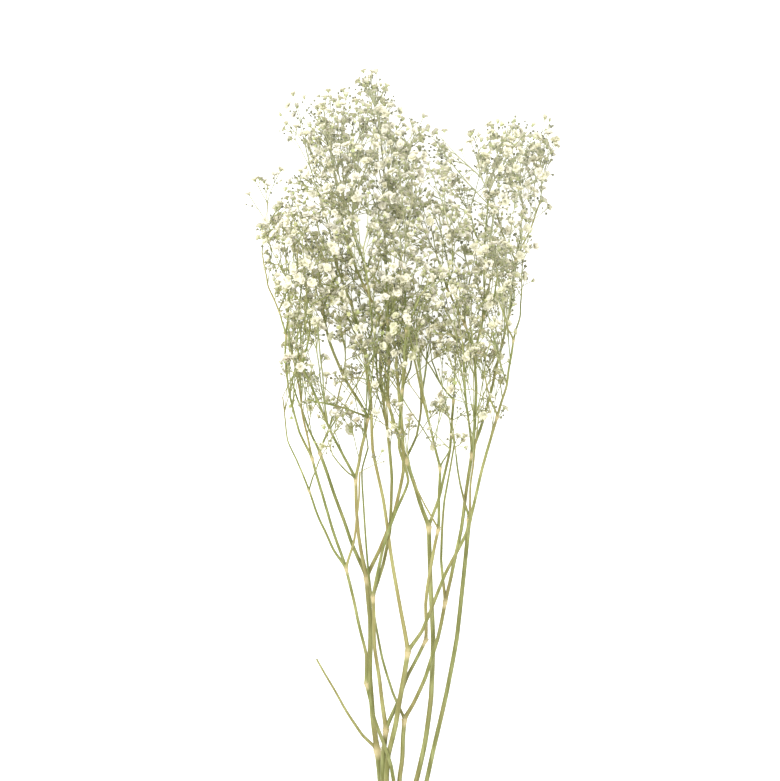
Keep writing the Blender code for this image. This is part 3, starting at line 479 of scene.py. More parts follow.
def stretches_of(limb, owner, found):
    """Each straight stretch under a limb, with the limbs that it belongs to, for the search for clashes."""
    for i in range(len(limb.points) - 1):
        found.append((limb.points[i], limb.points[i + 1], max(limb.radii[i : i + 2]), owner, limb))
    if limb.bloom:
        centre, facing = limb.bloom
        found.append((centre - facing * 1.2, centre - facing * 0.2, BLOOM_RADIUS * 0.97, owner, limb))
    for child in limb.limbs:
        stretches_of(child, owner, found)


def bloom_count(limb):
    return bool(limb.bloom) + sum(bloom_count(child) for child in limb.limbs)


def without(limb, dropped):
    """The limb less those that are dropped. A fork that one limb is left at becomes a bend."""
    if id(limb) in dropped:
        return None
    had = len(limb.limbs)
    limb.limbs = [kept for kept in (without(child, dropped) for child in limb.limbs) if kept]
    if had and not limb.limbs:
        return None
    if had and len(limb.limbs) == 1:
        only = limb.limbs[0]
        limb.points += only.points[1:]
        limb.radii += only.radii[1:]
        limb.bloom, limb.limbs = only.bloom, only.limbs
    return limb


def thinned(framework, sprays):
    """The sprays less the few twigs and blooms that would run through others."""
    lines, line_radii, _ = framework.stretches()
    tips = {name: end for name, end, _, _ in framework.tips()}
    while True:
        found = []
        for name, limb in sprays.items():
            stretches_of(limb, name, found)
        own = np.array([[a, b] for a, b, _, _, _ in found])
        radii = np.array([r for _, _, r, _, _ in found])
        gaps = closest(own, own)[0]
        crowded = gaps < radii[:, None] + radii[None, :] + CLEARANCE
        counts = [bloom_count(limb) for _, _, _, _, limb in found]
        dropped = set()
        for i, j in np.argwhere(np.triu(crowded, 1)):
            one, other = found[i], found[j]
            if id(one[4]) in dropped or id(other[4]) in dropped or one[4] is other[4] or touching(one, other):
                continue
            dropped.add(id((one if counts[i] <= counts[j] else other)[4]))
        against = closest(own, lines)[0] < radii[:, None] + line_radii[None, :] + CLEARANCE
        for i, j in np.argwhere(against):
            seat = tips[found[i][3]]
            at_seat = min(norm(lines[j] - seat, axis=1)) < 0.01
            if not (at_seat and norm(found[i][0] - seat) < 1.0):
                dropped.add(id(found[i][4]))
        if not dropped:
            return sprays
        kept = {name: without(limb, dropped) for name, limb in sprays.items()}
        sprays = {name: limb for name, limb in kept.items() if limb}


def touching(one, other):
    """Whether two stretches meet at a fork, where they are meant to."""
    return min(norm(p - q) for p in one[:2] for q in other[:2]) < 0.01


# The round sections: from which radius, how many sides, and the distance between rings.
SECTIONS = ((1.25, 12, 3.8), (0.8, 9, 3.4), (0.45, 6, 3.0), (0.3, 5, 2.8), (0.0, 4, 3.2))
SHARP = math.radians(62)  # faces that meet more steeply than this are shaded apart
BENT = 0.45  # how far a branch's line rounds its corners: 0 is straight from fork to fork
PLUMP = 1.25  # how much thicker than the CAD's the branches are drawn
KNOT = 0.45  # how much a branch swells at its fork, as a share of its radius
CRUMPLE = 0.16  # how far a petal's edge strays
PETAL_THICKNESS = 0.14
CYME_RADIUS, PEDICEL_RADIUS, BUD_STALK_RADIUS = 0.34, 0.27, 0.21
PANICLE_ON_STEM = 30.0  # the branch's length for each thin side branching
PANICLE_ON_TWIG = (46.0, 9.0)  # the same on twigs: low in the crown and at its top
PANICLE_START = 18.0  # no thin side branchings nearer the foot than this
CROWN_FOOT, CROWN_TOP = 100.0, 290.0  # the crown's height on the part
RUNNER_END = 150.0  # no long straight twigs leave the branches beyond this
WAYS_TRIED = 12  # for a side branching that has to end in the crown
LONGEST_FORKED = 34.0  # a longer twig's forks are no longer than this one's
FILL_TRIES, FILL_MOST = 9000, 640
BARE = 3.3  # florets are added where there is none nearer than this
RIM = 11.0  # the width in pixels of the crown's outer rim, where blooms give way to buds
FRINGE = 0.16  # the share of thin twigs that may end below the crown, inside this edge
FRINGE_EDGE = pixels("262,300 540,300 520,375 488,432 462,446 430,428 402,446 352,462 306,446 284,380")
GROUPS = ("west", "slim", "inner", "middle", "east_mid", "east", "far")

# Each kind of floret: its calyx's height, radius and spread, the height that its petals sit at, and its
# rounds of petals from the outside in, each as how many, their length, width and lean at foot and tip.
FLORETS = {
    "open": ((2.2, 1.15, 1.25), 1.3,
             ((5, 3.6, 3.2, 0.5, 1.45), (4, 3.2, 2.9, 0.35, 1.05), (3, 2.4, 2.2, 0.15, 0.6))),
    "full": ((2.2, 1.15, 1.2), 1.3,
             ((5, 3.3, 3.2, 0.55, 1.7), (5, 3.1, 2.9, 0.35, 1.2), (3, 2.6, 2.4, 0.15, 0.7))),
    "cup": ((2.3, 1.15, 1.2), 1.1, ((5, 3.2, 2.5, 0.25, 0.75), (4, 2.8, 2.2, 0.12, 0.4))),
    "shut": ((2.4, 1.05, 1.1), 0.9, ((5, 2.9, 1.9, 0.2, 0.05), (3, 2.9, 1.5, 0.08, -0.1))),
}
HUSK = (2.6, 1.35, 1.65)  # a calyx that has lost its petals
VARIANTS = 6  # of each kind
KINDS, KIND_SHARES = (*FLORETS, "husk"), (28, 34, 22, 11, 5)


def shown(name, data):
    made = bpy.data.objects.new(name, data)
    bpy.context.scene.collection.objects.link(made)
    return made


class Patch:
    """One visible piece: its points, triangles and, for each point, three shares that its material reads."""

    def __init__(self):
        self.points, self.faces, self.shades, self.count = [], [], [], 0

    def add(self, points, faces, shades):
        self.points.append(points)
        self.faces.append(faces + self.count)
        self.shades.append(shades)
        self.count += len(points)

    def piece(self, name, material, slot, replaced):
        points = np.clip(np.concatenate(self.points), BOX_LOW, BOX_HIGH) * MM
        faces = np.concatenate(self.faces).astype(np.int32)
        mesh = bpy.data.meshes.new(name)
        mesh.vertices.add(len(points))
        mesh.vertices.foreach_set("co", points.astype(np.float32).ravel())
        mesh.loops.add(3 * len(faces))
        mesh.loops.foreach_set("vertex_index", faces.ravel())
        mesh.polygons.add(len(faces))
        mesh.polygons.foreach_set("loop_start", np.arange(0, 3 * len(faces), 3, dtype=np.int32))
        mesh.update(calc_edges=True)
        mesh.polygons.foreach_set("use_smooth", np.ones(len(faces), bool))
        values = np.ones((len(points), 4), np.float32)
        values[:, :3] = np.concatenate(self.shades)
        mesh.attributes.new("shade", "FLOAT_COLOR", "POINT").data.foreach_set("color", values.ravel())
        mesh.set_sharp_from_angle(angle=SHARP)
        mesh.materials.append(material)
        made = shown(name, mesh)
        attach(made, "root")
        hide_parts(*replaced)


def across(way):
    """Two directions at right angles to this one and to each other."""
    side = unit(np.cross(way, [0.0, 0.0, 1.0] if abs(way[2]) < 0.9 else [1.0, 0.0, 0.0]))
    return side, np.cross(side, way)


def beside(way, turn):
    """The direction at right angles to way, turned this far round it."""
    side, up = across(way)
    return cos(turn) * side + sin(turn) * up


def tilted(way, lean, turn):
    return unit(cos(lean) * way + sin(lean) * beside(way, turn))


def flowing(points, radii, start_way, step, wander, draw):
    """A smooth line through these points that leaves along start_way, with the radius and the run at each."""
    points = np.array(points, float)
    chords = norm(np.diff(points, axis=0), axis=1)
    ways = np.diff(points, axis=0) / chords[:, None]
    bends = [unit(0.2 * start_way + 0.8 * ways[0]) if start_way is not None else ways[0]]
    bends += [unit(a + b) for a, b in zip(ways, ways[1:])]
    bends.append(ways[-1])
    line, width = [], []
    for i, chord in enumerate(chords):
        count = max(2, math.ceil(chord / step))
        for k in range(count + (i == len(chords) - 1)):
            t = k / count
            bent = (
                (2 * t**3 - 3 * t**2 + 1) * points[i] + (t**3 - 2 * t**2 + t) * chord * bends[i]
                + (3 * t**2 - 2 * t**3) * points[i + 1] + (t**3 - t**2) * chord * bends[i + 1]
            )
            straight = points[i] + (points[i + 1] - points[i]) * t
            line.append(BENT * bent + (1 - BENT) * straight)
            width.append(radii[i] + (radii[i + 1] - radii[i]) * t)
    line, width = np.array(line), np.array(width)
    runs = np.concatenate([[0], np.cumsum(norm(np.diff(line, axis=0), axis=1))])
    part = runs / runs[-1]
    for way in across(unit(points[-1] - points[0])):
        turns, phase = draw.uniform(1.0, 2.6), draw.uniform(0, tau)
        sway = np.sin(tau * turns * part + phase) * np.sin(pi * part) ** 0.7
        line += (wander * sway)[:, None] * way
    return line, width, runs


def tube(patch, line, width, sides, shades):
    """A round closed tube along a line."""
    ways = np.gradient(line, axis=0)
    ways /= norm(ways, axis=1)[:, None]
    side = across(ways[0])[0]
    turns = tau * np.arange(sides) / sides
    rings = []
    for centre, way, radius in zip(line, ways, width):
        side = unit(side - (side @ way) * way)
        up = np.cross(way, side)
        rings.append(centre + radius * (np.cos(turns)[:, None] * side + np.sin(turns)[:, None] * up))
    here = np.arange(sides)
    there = (here + 1) % sides
    faces = []
    for low in range(0, sides * (len(line) - 1), sides):
        high = low + sides
        faces.append(np.stack([low + here, low + there, high + there], axis=1))
        faces.append(np.stack([low + here, high + there, high + here], axis=1))
    first = sides * len(line)
    faces.append(np.stack([there, here, np.full(sides, first)], axis=1))
    high = first - sides
    faces.append(np.stack([high + here, high + there, np.full(sides, first + 1)], axis=1))
    shades = np.concatenate([np.repeat(shades, sides, axis=0), shades[:1], shades[-1:]])
    patch.add(np.concatenate([*rings, line[:1], line[-1:]]), np.concatenate(faces), shades)


def petal(length, width, start, end, turn, draw):
    """One closed, cupped and crumpled petal: its points, faces and how far each point is from foot to tip."""
    runs, spans = (0.0, 0.58, 1.0), (0.42, 1.0, 0.66)
    out, rise, ribs = 0.25, 0.0, []
    for k, run in enumerate(runs):
        lean = start + (end - start) * run
        if k:
            stride = (run - runs[k - 1]) * length
            out, rise = out + stride * sin(lean), rise + stride * cos(lean)
        ribs.append((out, rise, lean))
    points, shares = [], []
    cup = draw.uniform(0.1, 0.45)
    for (out, rise, lean), run, span in zip(ribs, runs, spans):
        for column in (-1, 0, 1):
            lift = cup * width * span * 0.5 * abs(column)
            notch = 0.6 * (run == 1.0) * abs(column) + draw.uniform(-1, 1) * CRUMPLE * run * 0.6
            lift += draw.uniform(-1, 1) * CRUMPLE * (0.4 + run)
            x = out - lift * cos(lean) - notch * sin(lean)
            z = rise + lift * sin(lean) - notch * cos(lean)
            points.append((x, column * width * span / 2, z))
            shares.append(run)
    lean = ribs[1][2]
    points.append(tuple(np.array(points[4]) + [PETAL_THICKNESS * cos(lean), 0, -PETAL_THICKNESS * sin(lean)]))
    shares.append(runs[1] * 0.6)
    rim = (0, 1, 2, 5, 8, 7, 6, 3)
    faces = [(here, there, 4) for here, there in zip(rim, (*rim[1:], rim[0]))]
    faces += [(there, here, 9) for here, there, _ in faces]
    c, s = cos(turn), sin(turn)
    return np.array(points) @ np.array([[c, s, 0], [-s, c, 0], [0, 0, 1]]), np.array(faces), np.array(shares)


def whorls(rounds, base, draw):
    """Petals in rounds, at this height over the calyx's foot."""
    points, faces, shares, count = [], [], [], 0
    for number, length, width, start, end in rounds:
        first = draw.uniform(0, tau)
        for k in range(number):
            turn = first + tau * (k + draw.uniform(-0.18, 0.18)) / number
            long = length * draw.uniform(0.82, 1.12)
            lean = draw.uniform(-0.22, 0.22)
            made = petal(long, width * draw.uniform(0.85, 1.15), start + lean / 2, end + lean, turn, draw)
            points.append(made[0] + [0, 0, base])
            faces.append(made[1] + count)
            shares.append(made[2])
            count += len(made[0])
    return np.concatenate(points), np.concatenate(faces), np.concatenate(shares)


def calyx(height, radius, spread, draw):
    """The green cup under the petals, with five teeth."""
    points, faces = [(0, 0, 0)], []
    for k in range(5):
        turn = tau * k / 5
        points.append((0.9 * radius * cos(turn), 0.9 * radius * sin(turn), 0.4 * height))
    for k in range(10):
        turn = pi * k / 5 + draw.uniform(-0.08, 0.08)
        r, z = (radius, 0.72 * height) if k % 2 else (radius * spread, height)
        points.append((r * cos(turn), r * sin(turn), z + draw.uniform(-0.1, 0.1)))
    points.append((0, 0, 0.5 * height))
    for k in range(5):
        low, next_low = 1 + k, 1 + (k + 1) % 5
        tooth, valley, next_tooth = 6 + 2 * k, 7 + 2 * k, 6 + (2 * k + 2) % 10
        faces += [(0, next_low, low), (low, next_low, valley), (low, valley, tooth)]
        faces += [(next_low, next_tooth, valley), (tooth, valley, 16), (valley, next_tooth, 16)]
    points = np.array(points, float)
    return points, np.array(faces), np.clip(points[:, 2] / height, 0, 1)


def bud(height, radius, draw):
    """A closed bud: an egg with the ribs of its calyx and the tip of its petals."""
    profile, sides = ((0.14, 0.6), (0.5, 1.0), (0.84, 0.62)), 8
    points, faces, shares = [(0, 0, 0)], [], [0.0]
    for z, r in profile:
        for k in range(sides):
            turn, rib = tau * k / sides, 0.96 if k % 2 else 1.04
            points.append((r * rib * radius * cos(turn), r * rib * radius * sin(turn), z * height))
            shares.append(z)
    points.append((draw.uniform(-0.1, 0.1), draw.uniform(-0.1, 0.1), height))
    shares.append(1.0)
    top = 1 + (len(profile) - 1) * sides
    for k in range(sides):
        n = (k + 1) % sides
        faces.append((0, 1 + n, 1 + k))
        for low in range(1, top, sides):
            faces += [(low + k, low + n, low + sides + n), (low + k, low + sides + n, low + sides + k)]
        faces.append((top + k, top + n, len(points) - 1))
    return np.array(points, float), np.array(faces), np.array(shares)


def templates(draw):
    """Florets in several states, each as its petals and its calyx, and buds."""
    made = {kind: [] for kind in (*KINDS, "bud")}
    for _ in range(VARIANTS):
        for kind, (cup, base, rounds) in FLORETS.items():
            made[kind].append((whorls(rounds, base, draw), calyx(*cup, draw)))
        made["bud"].append((None, bud(draw.uniform(1.9, 2.7), draw.uniform(0.75, 1.1), draw)))
        made["husk"].append((None, calyx(*HUSK, draw)))
    return made


class Dresser:
    """Turns limbs into round twigs, scale leaves, florets and buds, each in its group's pieces."""

    def __init__(self, draw, tips):
        self.draw = draw
        self.tips = [(tip[1], group_of(tip[0])) for tip in tips]
        self.templates = templates(draw)
        names = (*GROUPS, "stem")
        self.twigs, self.petals, self.greens = ({name: Patch() for name in names} for _ in range(3))
        self.forks, self.blooms = [], []

    def set_down(self, kind, foot, facing, size, group):
        """Places one floret or bud, turned at random round the way it faces and kept in the CAD's box."""
        tone = self.draw.random() * dullness(foot)
        self.blooms.append(foot[:2])
        petals, cup = self.draw.choice(self.templates[kind])
        side, up = across(facing)
        turn = self.draw.uniform(0, tau)
        c, s = cos(turn), sin(turn)
        basis = size * np.array([c * side + s * up, -s * side + c * up, facing])
        if np.linalg.det(basis) < 0:
            basis[1] = -basis[1]
        held = [(made, made[0] @ basis + foot, patches)
                for made, patches in ((petals, self.petals), (cup, self.greens)) if made is not None]
        both = np.concatenate([points for _, points, _ in held])
        shift = np.maximum(BOX_LOW - both.min(axis=0), 0) + np.minimum(BOX_HIGH - both.max(axis=0), 0)
        for (_, faces, shares), points, patches in held:
            every = np.ones(len(points))
            shades = np.stack([tone * every, shares, (kind == "bud") * every], axis=1)
            patches[group].add(points + shift, faces, shades)

    def twig(self, points, radii, start_way, group, knot_start, knot_end):
        """One round twig. Returns the way it ends and its line."""
        sides, step = next((sides, step) for least, sides, step in SECTIONS if max(radii) >= least)
        wander = min(0.005 * float(norm(np.array(points[-1]) - points[0])), 0.3)
        line, width, runs = flowing(points, radii, start_way, step, wander, self.draw)
        left = runs[-1] - runs
        bulge = knot_end * np.exp(-((left / (1.5 * radii[-1] + 0.3)) ** 2))
        foot = knot_start * np.exp(-((runs / (1.3 * radii[0] + 0.3)) ** 2))
        width = width * (1 + bulge + foot)
        knots = np.clip(2.0 * np.exp(-((left / (2.4 * radii[-1] + 0.6)) ** 2)) * (knot_end > 0), 0, 1)
        knots = np.maximum(knots, 0.8 * np.exp(-((runs / (1.8 * radii[0] + 0.5)) ** 2)) * (knot_start > 0))
        shades = np.stack([np.full(len(line), self.draw.random()), np.clip(width / 2.4, 0, 1), knots], axis=1)
        tube(self.twigs[group], line, width, sides, shades)
        if group != "stem":
            self.forks += [(spot, unit(after - spot), group) for spot, after in zip(line[1:], line[2:])]
        return unit(line[-1] - line[-2]), line

    def scale_leaves(self, spot, way, radius, group):
        """The pair of dry, pointed scale leaves at a fork."""
        turn = self.draw.uniform(0, pi)
        length = self.draw.uniform(1.3, 2.4) + 0.9 * radius
        for sign in (1, -1):
            out = sign * beside(way, turn)
            tip_way = unit(way + self.draw.uniform(0.3, 0.9) * out)
            wide = np.cross(out, way) * (0.35 * length * 0.55)
            base = spot + out * radius * 0.8
            middle, belly = base + tip_way * length * 0.45, base + tip_way * length * 0.4
            points = np.array([
                base - wide * 0.8, base + wide * 0.8, middle - wide, middle + wide,
                base + tip_way * length + out * 0.3 * length, belly + out * 0.18, belly - out * 0.1,
            ])
            faces = [(0, 1, 5), (0, 5, 2), (1, 3, 5), (2, 5, 4), (3, 4, 5)]
            faces += [tuple({5: 6}.get(i, i) for i in reversed(face)) for face in faces]
            shades = np.tile([self.draw.random(), 0.15, 0.75], (len(points), 1))
            self.twigs[group].add(points, np.array(faces), shades)

    def floret_kind(self):
        return self.draw.choices(KINDS, KIND_SHARES)[0]

    def cyme(self, limb, start_way, group):
        """A pedicel with its bloom, and the smaller blooms and buds that branch off it."""
        draw = self.draw
        centre, facing = limb.bloom
        radii = [limb.radii[0] * 0.8] + [CYME_RADIUS] * (len(limb.radii) - 1)
        way, line = self.twig(limb.points, radii, start_way, group, 0.2, 0.15)
        rim = rim_share(centre)
        kind = "bud" if draw.random() < 0.55 * rim else self.floret_kind()
        if centre[2] == 0.0:
            kind, facing = "full", unit(np.array([way[0], way[1], 0.7]))
        self.set_down(kind, line[-1], facing, draw.uniform(1.05, 1.35), group)
        length = float(norm(line[-1] - line[0]))
        first = draw.uniform(0, tau)
        for k in range(draw.choices((1, 2, 3), (20 + 40 * rim, 45, 35 - 30 * rim))[0]):
            share = draw.uniform(0.35, 0.8)
            root = line[int(share * (len(line) - 1))]
            heading = unit(way + draw.uniform(0.55, 1.15) * beside(way, first + k * 2.4))
            reach = min(max((1 - share) * length * draw.uniform(0.7, 1.25), 5.0), 12.5)
            self.side_pedicel(root, heading, reach, group)

    def side_pedicel(self, root, heading, reach, group, side=False):
        """A thin pedicel with a small floret or a bud, and unless it is a side one itself, more buds."""
        draw = self.draw
        tip = root + heading * reach
        tip[2] = max(tip[2], 2.6)
        radius = BUD_STALK_RADIUS if side else PEDICEL_RADIUS
        way, line = self.twig([root, tip], [radius, radius * 0.9], heading, group, 0.0, 0.25)
        chance = (0.74 if tip[1] > CROWN_FOOT else 0.4) * (1 - 0.5 * rim_share(tip))
        if side or draw.random() >= chance:
            self.set_down("bud", line[-1], way, draw.uniform(0.8, 1.15), group)
        else:
            facing = unit(way + 0.3 * heading)
            self.set_down(self.floret_kind(), line[-1], facing, draw.uniform(0.9, 1.25), group)
        if side:
            return
        for _ in range(draw.choices((0, 1, 2), (25, 45, 30))[0]):
            out = beside(way, draw.uniform(0, tau))
            start = line[int(draw.uniform(0.4, 0.75) * (len(line) - 1))]
            heading = unit(way + draw.uniform(0.5, 1.2) * out)
            self.side_pedicel(start, heading, draw.uniform(2.2, 4.6), group, side=True)

    def leaning(self, way, least, most):
        """A direction at least and at most this far from way, in radians."""
        turn = self.draw.uniform(0, tau)
        return tilted(way, self.draw.uniform(least, most), turn)

    def panicle(self, root, way, reach, radius, group, forks):
        """A thin straight side twig that forks in narrow Vs and ends in small florets and buds."""
        for _ in range(WAYS_TRIED):
            heading = self.leaning(way, 0.3, 0.62)
            end = root + heading * reach * (1.8 if forks else 1.3)
            if 5 < end[2] < BOX_HIGH[2] - 4 and in_crown(end, self.draw):
                self.fork(root, heading, reach, radius, group, forks)
                return

    def runner(self, root, way, group):
        """A long straight twig that leaves its branch at a narrow angle and forks only in the crown."""
        reach = self.draw.uniform(38, 85)
        for _ in range(WAYS_TRIED):
            heading = self.leaning(way, 0.16, 0.44)
            end = root + heading * (reach + 16)
            if 6 < end[2] < BOX_HIGH[2] - 6 and height_share(end) > 0 and in_crown(end, self.draw):
                self.fork(root, heading, reach, self.draw.uniform(0.42, 0.62), group, 1)
                return

    def fork(self, root, heading, reach, radius, group, forks):
        """A twig that parts in two or three, each a fork again or a pedicel."""
        draw = self.draw
        radii = [radius, 0.85 * radius]
        end_way, line = self.twig([root, root + heading * reach], radii, None, group, 0.0, 0.5)
        turn = draw.uniform(0, tau)
        for k in range(draw.choices((2, 3), (55, 45))[0]):
            lean = draw.uniform(0.28, 0.55) if k < 2 else 0.1
            way = tilted(end_way, lean, turn + k * pi + draw.uniform(-0.5, 0.5))
            if forks:
                further = min(reach, LONGEST_FORKED) * draw.uniform(0.4, 0.65)
                self.fork(line[-1], way, further, 0.8 * radius, group, forks - 1)
            else:
                self.side_pedicel(line[-1], way, draw.uniform(3.5, 8.5), group)

    def fill(self):
        """Puts more florets where the crown is still bare from above, each on the twig that reaches there."""
        draw = self.draw
        roots, ways = (np.array(column) for column in list(zip(*self.forks))[:2])
        xs, ys = zip(*CROWN_EDGE)
        taken = np.array(self.blooms)
        placed = 0
        for _ in range(FILL_TRIES):
            seen = draw.uniform(min(xs), max(xs)), draw.uniform(min(ys), max(ys))
            spot = np.array([(seen[0] - PLAN_X) * PIXEL, (PLAN_Y - seen[1]) * PIXEL])
            if placed == FILL_MOST or not inside(seen, CROWN_EDGE) or in_gap(*seen):
                continue
            if draw.random() > 0.2 + 0.8 * height_share(spot):
                continue
            if ((taken - spot) ** 2).sum(axis=1).min() < BARE**2:
                continue
            away = spot - roots[:, :2]
            flat = norm(away, axis=1)
            near = np.flatnonzero((flat > 5) & (flat < 20) & (ways[:, 2] ** 2 < 0.4))
            ahead = (away[near] * ways[near, :2]).sum(axis=1) / flat[near]
            near = near[ahead > 0.72]
            if not len(near):
                continue
            k = int(near[np.argmin(flat[near] + 3 * np.array([draw.random() for _ in near]))])
            tip = np.array([*spot, roots[k][2] + ways[k][2] * flat[k] + draw.uniform(-3, 3)])
            heading = tip - roots[k]
            self.side_pedicel(roots[k], unit(heading), float(norm(heading)), self.forks[k][2])
            taken = np.concatenate([taken, self.blooms[len(taken):]])
            placed += 1

    def dress(self, limb, start_way, group):
        """A limb and all that grows from it."""
        if limb.bloom:
            self.cyme(limb, start_way, group)
            return
        branch = group == "stem"
        radii = limb.radii
        if branch:
            radii = [min(PLUMP * radius, max(point[2], radius)) for point, radius in zip(limb.points, radii)]
        radii = [min(radii[0], 1.12 * radii[1] + 0.1), *radii[1:]]
        foot_knot, knot = 0.0 if start_way is None else 0.25, KNOT if limb.limbs else 0.0
        way, line = self.twig(limb.points, radii, start_way, group, foot_knot, knot)
        low, top = PANICLE_ON_TWIG
        spacing = PANICLE_ON_STEM if branch else low + (top - low) * height_share(line[-1])
        for _ in range(int(float(norm(line[-1] - line[0])) / spacing + self.draw.random())):
            k = int(self.draw.uniform(0.15, 0.9) * (len(line) - 1))
            if line[k][1] < PANICLE_START:
                continue
            ahead = unit(line[k + 1] - line[k])
            if branch:
                near = min(self.tips, key=lambda tip: norm(tip[0] - line[k]))[1]
                self.panicle(line[k], ahead, self.draw.uniform(16, 34), 0.42, near, 1)
                if line[k][1] < RUNNER_END and self.draw.random() < 0.6:
                    self.runner(line[k], ahead, near)
            else:
                reach = self.draw.uniform(8, 15) + 9 * self.draw.random() * height_share(line[k])
                self.panicle(line[k], ahead, reach, 0.3, group, 0)
        if limb.limbs:
            self.scale_leaves(line[-1] - way * radii[-1] * 0.4, way, radii[-1], group)
        for child in limb.limbs:
            self.dress(child, way, group)


def height_share(spot):
    """How far up the crown this is, from 0 to 1."""
    return float(np.clip((spot[1] - CROWN_FOOT) / (CROWN_TOP - CROWN_FOOT), 0, 1))


def dullness(spot):
    """How dull florets are here: pale at the crown's top and in its right part, duller below."""
    right = np.clip((spot[0] - 50) / 30, 0, 1) * np.clip((spot[1] - 190) / 40, 0, 1)
    return 1.0 - 0.55 * max(height_share(spot), right)


def seen_at(spot):
    """Where this is in the photograph, in pixels."""
    return spot[0] / PIXEL + PLAN_X, PLAN_Y - spot[1] / PIXEL


def rim_share(spot):
    """How near this is to the crown's outline, from 0 well inside to 1 on it."""
    return 1.0 - min(edge_distance(np.array(seen_at(spot)), CROWN_EDGE) / RIM, 1.0)


def in_crown(spot, draw):
    """Whether a thin twig may end here, seen from above. Below the crown only some may."""
    seen = seen_at(spot)
    if inside(seen, CROWN_EDGE) and not in_gap(*seen):
        return True
    return inside(seen, FRINGE_EDGE) and draw.random() < FRINGE


def group_of(name):
    return max((group for group in GROUPS if name.startswith(group)), key=len)


class Look:
    """A dull material, coloured by the three shares of a piece's points: tone, run or girth, and mark."""

    def __init__(self, name, roughness):
        self.material = bpy.data.materials.new(name)
        self.material.use_nodes = True
        self.shader = self.material.node_tree.nodes["Principled BSDF"]
        self.shader.inputs["Roughness"].default_value = roughness
        shade = self.node("Attribute", {}, attribute_name="shade")["Color"]
        self.tone, self.run, self.mark = self.node("SeparateColor", {"Color": shade})
        self.where = self.node("TexCoord", {})["Object"]

    def node(self, kind, inputs, **settings):
        """A new node, with a number, a vector or another node's output at each of these inputs."""
        made = self.material.node_tree.nodes.new("ShaderNode" + kind)
        for name, value in settings.items():
            setattr(made, name, value)
        for name, value in inputs.items():
            if isinstance(value, bpy.types.NodeSocket):
                self.material.node_tree.links.new(value, made.inputs[name])
            else:
                made.inputs[name].default_value = value
        return made.outputs

    def ramp(self, source, *stops):
        made = self.node("ValToRGB", {"Fac": source})["Color"]
        elements = made.node.color_ramp.elements
        while len(elements) < len(stops):
            elements.new(0.5)
        for element, (position, colour) in zip(elements, stops):
            element.position = position
            element.color = (*colour, 1)
        return made

    def blend(self, share, first, second, kind="MIX"):
        first, second = ((*colour, 1) if isinstance(colour, tuple) else colour for colour in (first, second))
        return self.node("Mix", {0: share, 6: first, 7: second}, data_type="RGBA", blend_type=kind)[2]

    def spread(self, source, low, high, to_low=0.0, to_high=1.0):
        ends = {"From Min": low, "From Max": high, "To Min": to_low, "To Max": to_high}
        return self.node("MapRange", {"Value": source, **ends})["Result"]

    def noise(self, scale, detail, stretch=None):
        where = self.where
        if stretch:
            where = self.node("Mapping", {"Vector": where, "Scale": stretch})["Vector"]
        return self.node("TexNoise", {"Vector": where, "Scale": scale, "Detail": detail})["Fac"]

    def paler_up(self, colour, most, pale):
        """Lets the colour fade towards the crown's top and its right part."""
        ends = {0: self.where, 1: (0.5, 1.0, 0.0)}
        height = self.node("VectorMath", ends, operation="DOT_PRODUCT")["Value"]
        return self.blend(self.spread(height, 0.13, 0.28, 0.0, most), colour, pale)

    def done(self, colour, relief, strength, distance):
        bump = self.node("Bump", {"Height": relief, "Strength": strength, "Distance": distance})["Normal"]
        for source, name in ((colour, "Base Color"), (bump, "Normal")):
            self.material.node_tree.links.new(source, self.shader.inputs[name])
        return self.material


def stem_material(name, thin, thick, pale, knot, straw, fading):
    """Dry stalk: one colour where it is thin and another where it is thick, fine ribs and cream knots."""
    look = Look(name, 0.62)
    colour = look.blend(look.spread(look.run, 0.15, 0.75), thin, thick)
    colour = look.blend(look.spread(look.tone, straw, straw + 0.14, 0.0, 0.6), colour, (0.31, 0.26, 0.10))
    streaks = look.noise(260.0, 4.0, (1.0, 0.09, 1.0))
    colour = look.blend(look.spread(streaks, 0.42, 0.68, 0.0, 0.75), colour, pale)
    blotches = look.noise(46.0, 3.0, (1.0, 0.45, 1.0))
    colour = look.blend(look.spread(blotches, 0.48, 0.72, 0.0, 0.6), colour, (0.26, 0.20, 0.075))
    tint = look.ramp(look.tone, (0.0, (0.70, 0.78, 0.62)), (0.5, (0.98, 0.98, 0.9)), (1.0, (1.0, 0.92, 0.76)))
    colour = look.blend(0.5, colour, tint, "MULTIPLY")
    colour = look.blend(look.spread(look.mark, 0.25, 0.95, 0.0, 0.8), colour, knot)
    return look.done(look.paler_up(colour, fading, (0.50, 0.51, 0.40)), streaks, 0.6, 0.0004)


def petal_material():
    """Papery dried petals: cream to beige, greener at the foot and browned along some edges."""
    look = Look("dried_petal", 0.85)
    tone = look.ramp(look.tone, (0.0, (0.77, 0.75, 0.66)), (0.3, (0.74, 0.72, 0.54)),
                     (0.55, (0.76, 0.73, 0.61)), (0.8, (0.68, 0.68, 0.46)), (1.0, (0.66, 0.60, 0.47)))
    colour = look.blend(look.spread(look.run, 0.0, 0.35, 0.6, 0.0), tone, (0.58, 0.57, 0.34))
    mottle = look.noise(900.0, 3.0)
    colour = look.blend(look.spread(mottle, 0.54, 0.8, 0.0, 0.3), colour, (0.66, 0.58, 0.42))
    colour = look.blend(look.spread(look.run, 0.8, 1.0, 0.0, 0.25), colour, (0.47, 0.42, 0.28))
    return look.done(colour, mottle, 0.5, 0.00025)


